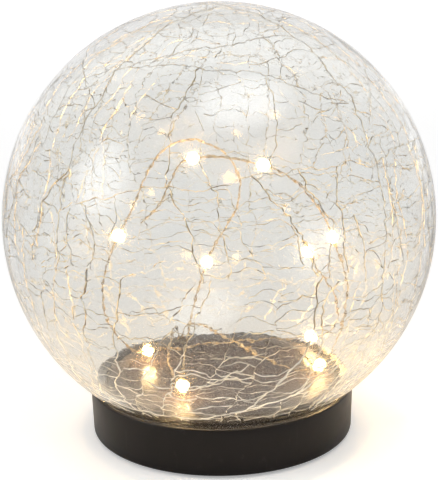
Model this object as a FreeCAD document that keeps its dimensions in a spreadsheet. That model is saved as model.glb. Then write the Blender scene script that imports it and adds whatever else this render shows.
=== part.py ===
import FreeCAD
import Part
import Sketcher
import math
import os

# Crackle-glass garden globe light. Millimetres, +Z up, -Y is the front.
# The origin is on the resting surface, under the middle of the globe.

SIZES = (
    ("globe_radius", 75.0, "outside of the glass ball"),
    ("glass_wall", 3.0, "glass thickness, ball and neck"),
    ("neck_radius", 44.5, "outside of the glass neck"),
    ("neck_bend", 2.0, "outer bend from ball to neck"),
    ("neck_length", 8.0, "neck below the bend"),
    ("neck_edge", 0.8, "fire-polished edge of the neck"),
    ("foot_stand", 0.8, "feet proud of the housing"),
    ("foot_radius", 4.0, "rubber foot"),
    ("foot_sink", 0.8, "foot recess depth"),
    ("foot_inset", 7.3, "feet in from the housing's bottom edge"),
    ("foot_angle", 50.0, "feet, off the line to the side, in degrees"),
    ("collar_wall", 1.7, "housing wall round the neck, at the rim"),
    ("base_taper", 0.5, "housing narrower at the bottom than at the rim"),
    ("base_edge", 1.4, "bottom edge rounding"),
    ("rim_edge", 0.5, "rim rounding"),
    ("collar_gap", 0.3, "rim to glass"),
    ("seal_gap", 0.6, "neck to housing wall, filled by the sealant"),
    ("flare_depth", 1.0, "flare inside the rim"),
    ("sealant_drop", 2.2, "sealant top below the rim"),
    ("gasket_thickness", 1.5, "ring under the neck"),
    ("ledge_reach", 0.6, "ledge inside the neck"),
    ("floor_thickness", 3.0, "housing floor"),
    ("deck_gap", 0.6, "inner cover to neck"),
    ("deck_rise", 1.8, "inner cover above the rim"),
    ("deck_room", 1.0, "air between the battery holder and the cover"),
    ("deck_floor", 1.2, "cover under the panel"),
    ("deck_edge", 0.6, "rounding round the cover"),
    ("skirt_depth", 6.0, "cover skirt"),
    ("skirt_wall", 1.4, "cover skirt wall"),
    ("deck_border", 6.4, "cover left round the panel"),
    ("panel_thickness", 1.6, "solar panel"),
    ("panel_bevel", 0.3, "bevel round the panel"),
    ("pad_thickness", 0.6, "adhesive foam under the panel"),
    ("panel_gap", 0.3, "panel to its recess"),
    ("seat_clear", 0.05, "air between pieces that rest on each other"),
    ("lead_hole", 2.0, "hole for the panel leads"),
    ("panel_lead_x", 8.0, "panel leads across"),
    ("panel_lead_y", 19.5, "panel leads back"),
    ("lead_apart", 0.8, "panel leads from their middle"),
    ("lead_apart_low", 1.28, "panel leads from their middle, at the board"),
    ("lead_drop", 3.6, "panel leads straight down"),
    ("lead_shift", 1.2, "panel leads forward at the board"),
    ("lead_stand", 3.2, "panel leads straight up from the board"),
    ("boss_inset", 7.9, "cover screws in from the cover's edge"),
    ("boss_radius", 3.6, "screw boss"),
    ("boss_height", 5.6, "housing boss above its floor"),
    ("boss_root", 0.2, "cover boss into the cover"),
    ("screw_seat", 3.2, "cover screw seat above the housing bottom"),
    ("screw_radius", 1.25, "cover screw shank"),
    ("screw_length", 10.0, "cover screw under its head"),
    ("screw_head", 2.5, "cover screw head"),
    ("head_height", 1.7, "cover screw head"),
    ("drive_radius", 0.9, "cover screw drive"),
    ("drive_depth", 0.9, "cover screw drive"),
    ("small_drive_radius", 0.7, "drive of the small screws"),
    ("small_drive_depth", 0.6, "drive of the small screws"),
    ("screw_clear", 0.25, "clearance hole round a screw"),
    ("thread_fit", 0.05, "pilot hole round a thread"),
    ("pilot_room", 0.4, "pilot hole past the screw's end"),
    ("bay_y", -14.0, "battery middle, front to back"),
    ("bay_clear", 0.35, "room beside the cell"),
    ("cell_radius", 5.25, "AAA cell"),
    ("cell_length", 43.5, "AAA cell without its button"),
    ("button_radius", 1.9, "AAA button"),
    ("button_height", 1.0, "AAA button"),
    ("cell_lift", 2.5, "cell above the housing bottom"),
    ("cell_headroom", 0.2, "air over the cell"),
    ("plate_thickness", 0.4, "battery contact plates"),
    ("plate_height", 8.0, "battery contact plates"),
    ("plate_clear", 0.4, "contact plates to the holder's sides"),
    ("lead_lift", 2.0, "battery leads above the cell's middle"),
    ("lead_clear", 0.3, "hole round a battery lead"),
    ("spring_length", 4.7, "battery spring, pressed"),
    ("spring_wire", 0.3, "battery spring wire radius"),
    ("spring_radius", 2.8, "battery spring coil"),
    ("holder_wall", 1.2, "battery holder"),
    ("holder_corner", 1.5, "battery holder's corners"),
    ("door_thickness", 1.6, "battery door"),
    ("door_gap", 0.3, "round the door"),
    ("door_lap", 1.5, "door over the opening"),
    ("seal_thickness", 0.5, "door seal"),
    ("seal_width", 1.1, "door seal"),
    ("seal_clear", 0.1, "door seal to the opening"),
    ("barrel_radius", 1.4, "rolled hinge edge"),
    ("barrel_reach", 2.9, "hinge axis past the opening"),
    ("pin_radius", 0.7, "hinge pin"),
    ("pin_length", 2.0, "hinge pin"),
    ("pin_fit", 0.05, "hinge pin in its hole"),
    ("tab_radius", 3.6, "door screw tab"),
    ("tab_reach", 2.6, "screw past the door edge"),
    ("door_screw_radius", 0.9, "door screw shank"),
    ("door_screw_length", 3.4, "door screw under its head"),
    ("door_screw_head", 1.9, "door screw head"),
    ("door_head_sink", 0.8, "recess for the door screw head"),
    ("door_head_height", 1.2, "door screw head"),
    ("turn_clear", 0.6, "room for the door screw as the door tips"),
    ("door_screw_room", 1.6, "air past the door screw's end"),
    ("door_boss_wall", 1.2, "boss round the door screw"),
    ("door_boss_height", 2.4, "boss over the door screw"),
    ("post_height", 3.0, "board above the floor"),
    ("post_radius", 2.4, "board post"),
    ("board_length", 40.0, "circuit board across"),
    ("board_width", 24.0, "circuit board front to back"),
    ("board_thickness", 1.6, "circuit board"),
    ("board_corner", 1.0, "circuit board's corners"),
    ("board_y", 14.0, "circuit board middle"),
    ("board_screw_x", 17.0, "board screws across"),
    ("board_screw_y", 4.4, "board screws"),
    ("board_screw_radius", 0.95, "board screw shank"),
    ("board_screw_head", 1.9, "board screw head"),
    ("board_screw_length", 5.6, "board screw under its head"),
    ("board_head_height", 1.2, "board screw head"),
    ("driver_length", 5.0, "driver chip across"),
    ("driver_width", 4.0, "driver chip front to back"),
    ("driver_height", 1.5, "driver chip"),
    ("driver_x", 0.5, "driver chip across"),
    ("driver_y", 6.0, "driver chip before the board's middle"),
    ("inductor_radius", 3.0, "inductor flanges"),
    ("inductor_waist", 2.4, "inductor winding"),
    ("inductor_height", 5.0, "inductor"),
    ("inductor_flange", 0.9, "inductor flange thickness"),
    ("inductor_slope", 0.3, "inductor flange to its winding"),
    ("inductor_x", 5.5, "inductor left of the middle"),
    ("inductor_y", 4.5, "inductor behind the board's middle"),
    ("capacitor_radius", 2.5, "capacitor can"),
    ("capacitor_height", 5.5, "capacitor can"),
    ("capacitor_x", 12.5, "capacitor left of the middle"),
    ("capacitor_y", 2.5, "capacitor before the board's middle"),
    ("switch_x", 9.0, "switch across"),
    ("switch_y", 12.0, "switch back"),
    ("switch_length", 9.0, "switch case"),
    ("switch_width", 4.6, "switch case"),
    ("switch_height", 2.8, "switch case"),
    ("switch_travel", 3.0, "slider travel"),
    ("slider_length", 3.6, "slider in the case"),
    ("slider_width", 2.4, "slider in the case"),
    ("slider_depth", 1.5, "slider in the case"),
    ("slider_gap", 0.2, "round the slider"),
    ("knob_length", 2.4, "slider knob"),
    ("knob_width", 1.8, "slider knob"),
    ("knob_sink", 0.4, "knob end above the housing bottom"),
    ("groove_width", 0.3, "grip grooves in the knob"),
    ("groove_depth", 0.4, "grip grooves in the knob"),
    ("finger_length", 13.0, "finger recess over the switch"),
    ("finger_width", 8.0, "finger recess over the switch"),
    ("finger_depth", 1.2, "finger recess over the switch"),
    ("finger_corner", 2.5, "finger recess's corners"),
    ("exit_inset", 4.0, "string exit in from the cover's edge"),
    ("exit_angle", 25.2, "string exit left of the back, in degrees"),
    ("string_radius", 0.45, "twisted wire pair"),
    ("string_spread", 0.75, "strings from the exit's middle"),
    ("string_start", 1.4, "strings' ends in from the board's back edge"),
    ("string_lift", 2.7, "strings straight up from the board"),
    ("string_slope", 0.2, "strings' rise on their way to the exit"),
    ("string_stand", 6.0, "strings straight up from the cover"),
    ("grommet_radius", 1.7, "grommet in the cover"),
    ("grommet_flange", 2.1, "grommet flanges"),
    ("flange_height", 0.8, "grommet flanges"),
    ("flange_edge", 0.3, "rounding of the upper flange"),
    ("lead_radius", 0.5, "insulated leads"),
    ("bead_radius", 1.7, "resin drop over a light"),
    ("bead_half", 2.6, "half the drop's length"),
    ("chip_size", 1.1, "light chip"),
    ("chip_thickness", 0.5, "light chip"),
)

# Ways of the formed wires, with heights above the cover, and the runs that carry
# a light. The battery leads' heights are above their ends at the battery.
LEFT_ROUTE = (
    (-18.0, 26.0, 7.4),
    (-20.0, 13.0, 3.9),
    (-18.5, -1.0, 1.8),
    (-15.6, -12.5, 1.2),
    (-13.8, -21.6, 1.0),
    (-13.2, -23.6, 8.0),
    (-12.6, -19.5, 16.4),
    (-9.8, -11.0, 28.4),
    (-6.2, -5.0, 38.9),
    (-2.8, -1.0, 46.9),
    (4.3, 3.5, 56.9),
    (8.6, 6.0, 66.4),
    (5.5, 6.0, 77.4),
    (-4.0, 4.5, 84.9),
    (-16.0, 2.2, 85.4),
    (-24.0, 0.0, 76.4),
    (-28.8, -3.0, 65.9),
    (-32.5, -5.0, 58.2),
    (-37.5, -7.0, 49.4),
    (-41.3, -7.5, 37.4),
    (-41.0, -4.0, 23.4),
    (-36.5, 1.0, 12.4),
    (-30.5, 6.5, 5.7),
    (-23.7, 15.5, 3.7),
    (-15.0, 21.5, 1.2),
    (-2.0, 27.5, 1.0),
    (12.0, 29.5, 1.4),
    (28.5, 25.5, 3.4),
    (39.3, 19.9, 6.0),
    (44.5, 15.0, 14.9),
    (40.5, 7.5, 28.9),
    (32.4, -0.5, 41.2),
    (29.4, -3.5, 50.0),
)
LEFT_RUN_INDEX = (4, 8, 17, 22, 27, 31)

RIGHT_ROUTE = (
    (-9.0, 27.5, 9.4),
    (3.0, 19.0, 6.4),
    (15.0, 8.5, 2.2),
    (25.5, -1.0, 1.0),
    (31.5, -6.0, 1.9),
    (38.3, -6.5, 7.3),
    (43.5, -2.0, 16.4),
    (45.8, 4.0, 28.4),
    (44.4, 7.0, 37.4),
    (42.0, 6.5, 43.9),
    (38.6, 5.5, 53.3),
    (34.0, 3.0, 62.4),
    (27.6, 0.0, 70.4),
    (19.6, -2.2, 76.0),
    (11.2, -3.8, 78.8),
    (3.5, -5.2, 80.6),
    (-4.0, -6.5, 81.7),
    (-13.0, -7.5, 80.7),
    (-17.0, -9.0, 71.9),
    (-21.0, -11.0, 64.4),
    (-27.0, -12.0, 59.9),
)
RIGHT_RUN_INDEX = (4, 9, 13, 16)

BATTERY_ROUTE = (
    (29.5, -14.0, 0.0),
    (30.5, -4.0, 1.05),
    (26.0, 4.5, 1.85),
    (17.5, 10.5, 1.65),
)

SPRING_TURNS = 3
GRIP_GROOVES = 3
BEND_SHARE = 0.45  # of a run, taken up by the bend at its end
LEAST_CUT = 1e-6
VOLUME_SLACK = 0.01

doc = FreeCAD.newDocument("garden_globe_light")
sheet = doc.addObject("Spreadsheet::Sheet", "dims")
for line, (word, size, note) in enumerate(SIZES, start=1):
    sheet.set(f"A{line}", note)
    sheet.set(f"B{line}", str(size))
    sheet.setAlias(f"B{line}", word)
doc.recompute()

# Heights and radii that several pieces share.
CELL_HEIGHT = "(dims.foot_stand + dims.cell_lift + dims.cell_radius)"
LEAD_HEIGHT = f"({CELL_HEIGHT} + dims.lead_lift)"
HOLDER_INSIDE = f"({CELL_HEIGHT} + dims.cell_radius + dims.cell_headroom)"
RECESS_DEPTH = "(dims.panel_thickness + dims.pad_thickness)"
DECK_TOP = (
    f"({HOLDER_INSIDE} + dims.holder_wall + dims.deck_room"
    f" + dims.deck_floor + {RECESS_DEPTH})"
)
RIM = f"({DECK_TOP} - dims.deck_rise)"
BASE_HEIGHT = f"({RIM} - dims.foot_stand)"
BEND_RADIUS = "(dims.globe_radius + dims.neck_bend)"
BEND_OUT = "(dims.neck_radius + dims.neck_bend)"
BEND_DROP = f"sqrt({BEND_RADIUS}^2 - {BEND_OUT}^2)"
TOUCH_OUT = f"({BEND_OUT} * dims.globe_radius / {BEND_RADIUS})"
TOUCH_DROP = f"({BEND_DROP} * dims.globe_radius / {BEND_RADIUS})"
INNER_SHARE = f"((dims.globe_radius - dims.glass_wall) / {BEND_RADIUS})"
NECK_INSIDE = "(dims.neck_radius - dims.glass_wall)"
NECK_DROP = f"({BEND_DROP} + dims.neck_length)"
GLOBE_CENTRE = f"({RIM} + {TOUCH_DROP})"
NECK_END = f"({GLOBE_CENTRE} - {NECK_DROP})"
LEDGE_TOP = f"({NECK_END} - dims.gasket_thickness)"
LEDGE_INSIDE = f"({NECK_INSIDE} - dims.ledge_reach)"
COLLAR_INSIDE = "(dims.neck_radius + dims.seal_gap)"
BASE_RIM_RADIUS = f"({COLLAR_INSIDE} + dims.collar_wall)"
BASE_FOOT_RADIUS = f"({BASE_RIM_RADIUS} - dims.base_taper)"
FOOT_CIRCLE = f"({BASE_FOOT_RADIUS} - dims.foot_inset)"
FOOT_X = f"({FOOT_CIRCLE} * cos(dims.foot_angle))"
FOOT_Y = f"({FOOT_CIRCLE} * sin(dims.foot_angle))"
FLOOR_TOP = "(dims.foot_stand + dims.floor_thickness)"
BOSS_TOP = f"({FLOOR_TOP} + dims.boss_height)"
DECK_RADIUS = f"({NECK_INSIDE} - dims.deck_gap)"
DECK_HEIGHT = f"({DECK_TOP} - {BOSS_TOP})"
PANEL_RADIUS = f"({DECK_RADIUS} - dims.deck_border)"
RECESS_RADIUS = f"({PANEL_RADIUS} + dims.panel_gap)"
BOSS_CIRCLE = f"({DECK_RADIUS} - dims.boss_inset)"
EXIT_X = f"(-({DECK_RADIUS} - dims.exit_inset) * sin(dims.exit_angle))"
EXIT_Y = f"(({DECK_RADIUS} - dims.exit_inset) * cos(dims.exit_angle))"
DECK_UNDER = f"({DECK_HEIGHT} - {RECESS_DEPTH} - dims.deck_floor)"
PILOT = "(dims.screw_radius + dims.thread_fit)"
BAY_HALF = "(dims.cell_radius + dims.bay_clear)"
BAY_LENGTH = (
    "(dims.cell_length + dims.button_height + dims.spring_length"
    " + 2 * dims.plate_thickness + 2 * dims.bay_clear)"
)
DOOR_HALF = f"({BAY_LENGTH} / 2 + dims.door_lap)"
DOOR_FRONT = f"(dims.bay_y - {BAY_HALF} - dims.door_lap)"
HINGE_Y = f"(dims.bay_y + {BAY_HALF} + dims.barrel_reach)"
TAB_Y = f"({DOOR_FRONT} - dims.tab_reach)"
REBATE_DEPTH = "(dims.door_thickness + dims.seal_thickness + dims.seat_clear)"
BOARD_UNDER = f"({FLOOR_TOP} + dims.post_height)"
BOARD_TOP = f"({BOARD_UNDER} + dims.board_thickness)"
KNOB_ON = "(dims.switch_x + dims.switch_travel / 2)"


def number(size):
    """Value of an expression, in millimetres."""
    return float(sheet.evalExpression(size))


def bind(item, **sizes):
    """Ties properties to expressions; a double underscore stands for a dot."""
    for name, size in sizes.items():
        item.setExpression(name.replace("__", "."), size)


def place(item, across="0", back="0", up="0"):
    for axis, size in (("x", across), ("y", back), ("z", up)):
        if size != "0":
            item.setExpression(f"Placement.Base.{axis}", size)


def plane_of(body, role):
    return next(f for f in body.Origin.OriginFeatures if f.Role == role)


def sketch_on(body, name, role, lift="0"):
    sketch = body.newObject("Sketcher::SketchObject", name)
    sketch.AttachmentSupport = (plane_of(body, role), [""])
    sketch.MapMode = "FlatFace"
    if lift != "0":
        sketch.setExpression("AttachmentOffset.Base.z", lift)
    return sketch


def tie(sketch, kind, edge, end, size):
    """Holds one coordinate of a sketch point at a size, or on the axis at 0."""
    if size == "0":
        axis = -2 if kind == "DistanceX" else -1
        sketch.addConstraint(Sketcher.Constraint("PointOnObject", edge, end, axis))
        return
    held = Sketcher.Constraint(kind, -1, 1, edge, end, number(size))
    index = sketch.addConstraint(held)
    sketch.setExpression(f"Constraints[{index}]", size)


def arc_between(start, finish, radius, side):
    """Arc of under half a turn; its centre is left of the way for side 1."""
    chord = finish - start
    middle = (start + finish) * 0.5
    rise = math.sqrt(max(radius**2 - (chord.Length / 2) ** 2, 0.0))
    left = FreeCAD.Vector(-chord.y, chord.x, 0) / chord.Length
    centre = middle + left * (rise * side)
    first, last = (start, finish) if side > 0 else (finish, start)
    begin = math.atan2(first.y - centre.y, first.x - centre.x)
    stop = math.atan2(last.y - centre.y, last.x - centre.x)
    circle = Part.Circle(centre, FreeCAD.Vector(0, 0, 1), radius)
    return Part.ArcOfCircle(circle, begin, stop)


def outline(sketch, corners):
    """Closed outline. A corner is (across, up), or (across, up, radius, side)
    where the edge that leaves it is an arc."""
    points = [FreeCAD.Vector(number(c[0]), number(c[1]), 0) for c in corners]
    ends = []
    for index, corner in enumerate(corners):
        start = points[index]
        finish = points[(index + 1) % len(points)]
        if len(corner) == 2:
            edge = sketch.addGeometry(Part.LineSegment(start, finish), False)
            ends.append((edge, 1, 2))
            continue
        radius, side = corner[2], corner[3]
        arc = arc_between(start, finish, number(radius), side)
        edge = sketch.addGeometry(arc, False)
        ends.append((edge, 1, 2) if side > 0 else (edge, 2, 1))
    for index, (edge, start, _) in enumerate(ends):
        before, _, finish = ends[index - 1]
        joint = Sketcher.Constraint("Coincident", before, finish, edge, start)
        sketch.addConstraint(joint)
        tie(sketch, "DistanceX", edge, start, corners[index][0])
        tie(sketch, "DistanceY", edge, start, corners[index][1])
    for (edge, _, _), corner in zip(ends, corners):
        if len(corner) == 4:
            held = Sketcher.Constraint("Radius", edge, number(corner[2]))
            index = sketch.addConstraint(held)
            sketch.setExpression(f"Constraints[{index}]", corner[2])


def ring(sketch, across, back, radius):
    """A circle at a place."""
    centre = FreeCAD.Vector(number(across), number(back), 0)
    up = FreeCAD.Vector(0, 0, 1)
    edge = sketch.addGeometry(Part.Circle(centre, up, number(radius)), False)
    tie(sketch, "DistanceX", edge, 3, across)
    tie(sketch, "DistanceY", edge, 3, back)
    index = sketch.addConstraint(Sketcher.Constraint("Radius", edge, number(radius)))
    sketch.setExpression(f"Constraints[{index}]", radius)


def oblong(sketch, left, right, front, back, round_off="0"):
    """A rectangle, with rounded corners where a radius is given."""
    if round_off == "0":
        outline(sketch, ((left, front), (right, front), (right, back), (left, back)))
        return
    turn = (round_off, 1)
    outline(sketch, (
        (f"{left} + {round_off}", front),
        (f"{right} - {round_off}", front) + turn,
        (right, f"{front} + {round_off}"),
        (right, f"{back} - {round_off}") + turn,
        (f"{right} - {round_off}", back),
        (f"{left} + {round_off}", back) + turn,
        (left, f"{back} - {round_off}"),
        (left, f"{front} + {round_off}") + turn,
    ))


def new_body(label):
    body = doc.addObject("PartDesign::Body", f"{label}_body")
    body.Label = label
    return body


def revolve(body, name, corners):
    sketch = sketch_on(body, f"{name}_outline", "XZ_Plane")
    outline(sketch, corners)
    turned = body.newObject("PartDesign::Revolution", name)
    turned.Profile = sketch
    turned.ReferenceAxis = (sketch, ["V_Axis"])
    turned.Angle = 360.0
    doc.recompute()
    return turned


def grow(body, sketch, name, length, down=False):
    added = body.newObject("PartDesign::Pad", name)
    added.Profile = sketch
    added.Reversed = down
    bind(added, Length=length)
    doc.recompute()
    return added


def cut(body, sketch, name, length, up=True):
    """Pocket that must take material away."""
    before = body.Shape.Volume
    taken = body.newObject("PartDesign::Pocket", name)
    taken.Profile = sketch
    taken.Reversed = up
    bind(taken, Length=length)
    doc.recompute()
    if body.Shape.Volume >= before - LEAST_CUT:
        raise RuntimeError(f"{body.Label}: {name} cuts nothing")
    return taken


def polar(body, name, features, count):
    """Repeats features about the body's own Z axis."""
    copies = body.newObject("PartDesign::PolarPattern", name)
    copies.Originals = features
    copies.Axis = (plane_of(body, "Z_Axis"), [""])
    copies.Angle = 360.0
    copies.Occurrences = count
    body.Tip = copies
    doc.recompute()
    return copies


def cylinder(name, radius, height):
    tube = doc.addObject("Part::Cylinder", name)
    bind(tube, Radius=radius, Height=height)
    return tube


def box(name, length, width, height):
    block = doc.addObject("Part::Box", name)
    bind(block, Length=length, Width=width, Height=height)
    return block


def fuse(name, pieces):
    joined = doc.addObject("Part::MultiFuse", name)
    joined.Shapes = pieces
    return joined


def cut_away(name, base, tool):
    left = doc.addObject("Part::Cut", name)
    left.Base = base
    left.Tool = tool
    return left


def group(name, pieces):
    joined = doc.addObject("Part::Compound", name)
    joined.Links = pieces
    joined.Label = name
    return joined


# Glass


def glass_globe():
    """Ball and neck of one even wall, blown and cut open at the neck."""
    body = new_body("glass_globe")
    wall = "dims.glass_wall"
    inner = f"(dims.globe_radius - {wall})"
    inner_out = f"({BEND_OUT} * {INNER_SHARE})"
    inner_drop = f"({BEND_DROP} * {INNER_SHARE})"
    inner_bend = f"(dims.neck_bend + {wall})"
    edge = "dims.neck_edge"
    revolve(body, "ball", (
        ("0", f"{inner}", inner, -1),
        (inner_out, f"-{inner_drop}", inner_bend, 1),
        (NECK_INSIDE, f"-{BEND_DROP}"),
        (NECK_INSIDE, f"{edge} - {NECK_DROP}", edge, 1),
        (f"{NECK_INSIDE} + {edge}", f"-{NECK_DROP}"),
        (f"dims.neck_radius - {edge}", f"-{NECK_DROP}", edge, 1),
        ("dims.neck_radius", f"{edge} - {NECK_DROP}"),
        ("dims.neck_radius", f"-{BEND_DROP}", "dims.neck_bend", -1),
        (TOUCH_OUT, f"-{TOUCH_DROP}", "dims.globe_radius", 1),
        ("0", "dims.globe_radius"),
    ))
    place(body, up=GLOBE_CENTRE)
    return body


def globe_gasket():
    body = new_body("globe_gasket")
    reach = f"({COLLAR_INSIDE} - dims.collar_gap)"
    revolve(body, "ring", (
        (f"{LEDGE_INSIDE} + dims.collar_gap", "0"),
        (reach, "0"),
        (reach, "dims.gasket_thickness"),
        (f"{LEDGE_INSIDE} + dims.collar_gap", "dims.gasket_thickness"),
    ))
    place(body, up=LEDGE_TOP)
    return body


def globe_sealant():
    """Cured bead that bonds the neck in the collar."""
    body = new_body("globe_sealant")
    top = f"({RIM} - dims.sealant_drop - {NECK_END} - 2 * dims.neck_edge)"
    revolve(body, "bead", (
        ("dims.neck_radius", "0"),
        (COLLAR_INSIDE, "0"),
        (COLLAR_INSIDE, top),
        ("dims.neck_radius", top),
    ))
    place(body, up=f"{NECK_END} + 2 * dims.neck_edge")
    return body


# Housing


def housing_shell(body):
    edge = "dims.base_edge"
    rim = "dims.rim_edge"
    high = BASE_HEIGHT
    ledge = f"({LEDGE_TOP} - dims.foot_stand)"
    revolve(body, "cup", (
        ("0", "0"),
        (f"{BASE_FOOT_RADIUS} - {edge}", "0", edge, 1),
        (BASE_FOOT_RADIUS, edge),
        (BASE_RIM_RADIUS, f"{high} - {rim}", rim, 1),
        (f"{BASE_RIM_RADIUS} - {rim}", high),
        (f"{TOUCH_OUT} + dims.collar_gap", high),
        (COLLAR_INSIDE, f"{high} - dims.flare_depth"),
        (COLLAR_INSIDE, ledge),
        (LEDGE_INSIDE, ledge),
        (LEDGE_INSIDE, "dims.floor_thickness"),
        ("0", "dims.floor_thickness"),
    ))


def housing_bosses(body):
    """Three screw bosses, bored from below for the heads."""
    lift = "dims.floor_thickness"
    sketch = sketch_on(body, "boss_outline", "XY_Plane", lift)
    ring(sketch, "0", f"-{BOSS_CIRCLE}", "dims.boss_radius")
    boss = grow(body, sketch, "boss", "dims.boss_height")
    sketch = sketch_on(body, "head_hole_outline", "XY_Plane")
    ring(sketch, "0", f"-{BOSS_CIRCLE}", "dims.screw_head + dims.screw_clear")
    head = cut(body, sketch, "head_hole", "dims.screw_seat")
    sketch = sketch_on(body, "shank_hole_outline", "XY_Plane")
    ring(sketch, "0", f"-{BOSS_CIRCLE}", "dims.screw_radius + dims.screw_clear")
    length = "dims.floor_thickness + dims.boss_height"
    shank = cut(body, sketch, "shank_hole", length)
    polar(body, "bosses", [boss, head, shank], 3)


def foot_places():
    return [(f"{x}{FOOT_X}", f"{y}{FOOT_Y}") for x in ("", "-") for y in ("", "-")]


def housing_feet(body):
    sketch = sketch_on(body, "foot_recess_outline", "XY_Plane")
    for across, back in foot_places():
        ring(sketch, across, back, "dims.foot_radius + dims.screw_clear")
    cut(body, sketch, "foot_recesses", "dims.foot_sink")


def housing_bay(body):
    """Opening for the cell, with the rebate, hinge slot and screw boss of its door."""
    gap = "dims.door_gap"
    sketch = sketch_on(body, "rebate_outline", "XY_Plane")
    half = f"({DOOR_HALF} + {gap})"
    oblong(sketch, f"-{half}", half, f"({DOOR_FRONT} - {gap})", HINGE_Y)
    cut(body, sketch, "door_rebate", REBATE_DEPTH)
    sketch = sketch_on(body, "bay_outline", "XY_Plane")
    front = f"(dims.bay_y - {BAY_HALF})"
    back = f"(dims.bay_y + {BAY_HALF})"
    oblong(sketch, f"-{BAY_LENGTH} / 2", f"{BAY_LENGTH} / 2", front, back)
    cut(body, sketch, "bay_opening", "dims.floor_thickness")
    sketch = sketch_on(body, "hinge_slot_outline", "XY_Plane")
    reach = f"(dims.barrel_radius + {gap})"
    oblong(sketch, f"-{half}", half, f"({HINGE_Y} - {reach})", f"({HINGE_Y} + {reach})")
    cut(body, sketch, "hinge_slot", "dims.floor_thickness")
    sketch = sketch_on(body, "hinge_hole_outline", "YZ_Plane", f"-{half} - dims.pin_length - {gap}")
    ring(sketch, HINGE_Y, "dims.barrel_radius", "dims.pin_radius + dims.pin_fit")
    cut(body, sketch, "hinge_holes", f"2 * ({half} + dims.pin_length + {gap})")
    sketch = sketch_on(body, "tab_rebate_outline", "XY_Plane")
    ring(sketch, "0", TAB_Y, f"dims.tab_radius + {gap}")
    cut(body, sketch, "tab_rebate", "dims.door_thickness + dims.seat_clear")
    lift = "dims.floor_thickness"
    sketch = sketch_on(body, "door_boss_outline", "XY_Plane", lift)
    ring(sketch, "0", TAB_Y, "dims.door_screw_radius + dims.turn_clear + dims.door_boss_wall")
    grow(body, sketch, "door_boss", "dims.door_boss_height")
    sketch = sketch_on(body, "door_screw_hole_outline", "XY_Plane")
    ring(sketch, "0", TAB_Y, "dims.door_screw_radius + dims.turn_clear")
    cut(body, sketch, "door_screw_hole", "dims.door_screw_length + dims.door_screw_room")


def housing_board_posts(body):
    for side, name in (("", "right"), ("-", "left")):
        across = f"{side}dims.board_screw_x"
        lift = "dims.floor_thickness"
        sketch = sketch_on(body, f"{name}_post_outline", "XY_Plane", lift)
        ring(sketch, across, "dims.board_screw_y", "dims.post_radius")
        grow(body, sketch, f"{name}_post", "dims.post_height")
        bottom = "dims.floor_thickness + dims.post_height + dims.board_thickness"
        start = f"{bottom} - dims.board_screw_length - dims.pilot_room"
        sketch = sketch_on(body, f"{name}_pilot_outline", "XY_Plane", start)
        ring(sketch, across, "dims.board_screw_y", "dims.board_screw_radius + dims.thread_fit")
        cut(body, sketch, f"{name}_pilot", "dims.board_screw_length + dims.pilot_room")
    lift = "dims.floor_thickness"
    sketch = sketch_on(body, "rest_outline", "XY_Plane", lift)
    back = "(dims.board_y + dims.board_width / 2 - dims.post_radius)"
    ring(sketch, "0", back, "dims.post_radius")
    grow(body, sketch, "board_rest", "dims.post_height")


def housing_switch_slot(body):
    """Recess for a fingertip and the slot that the knob runs in."""
    sketch = sketch_on(body, "finger_outline", "XY_Plane")
    left = "(dims.switch_x - dims.finger_length / 2)"
    right = "(dims.switch_x + dims.finger_length / 2)"
    front = "(dims.switch_y - dims.finger_width / 2)"
    back = "(dims.switch_y + dims.finger_width / 2)"
    oblong(sketch, left, right, front, back, "dims.finger_corner")
    cut(body, sketch, "finger_recess", "dims.finger_depth")
    sketch = sketch_on(body, "knob_slot_outline", "XY_Plane")
    reach = "((dims.knob_length + dims.switch_travel) / 2 + dims.slider_gap)"
    side = "(dims.knob_width / 2 + dims.slider_gap)"
    left = f"(dims.switch_x - {reach})"
    right = f"(dims.switch_x + {reach})"
    oblong(sketch, left, right, f"(dims.switch_y - {side})", f"(dims.switch_y + {side})")
    cut(body, sketch, "knob_slot", "dims.floor_thickness")


def base_housing():
    """Moulded cup that carries everything."""
    body = new_body("base_housing")
    housing_shell(body)
    housing_bosses(body)
    housing_feet(body)
    housing_bay(body)
    housing_board_posts(body)
    housing_switch_slot(body)
    place(body, up="dims.foot_stand")
    return body


def rubber_feet():
    feet = []
    for index, (across, back) in enumerate(foot_places()):
        foot = cylinder(f"foot_{index}", "dims.foot_radius", "dims.foot_stand + dims.foot_sink")
        place(foot, across, back)
        feet.append(foot)
    return group("rubber_feet", feet)


# Inner cover and solar panel


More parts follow.
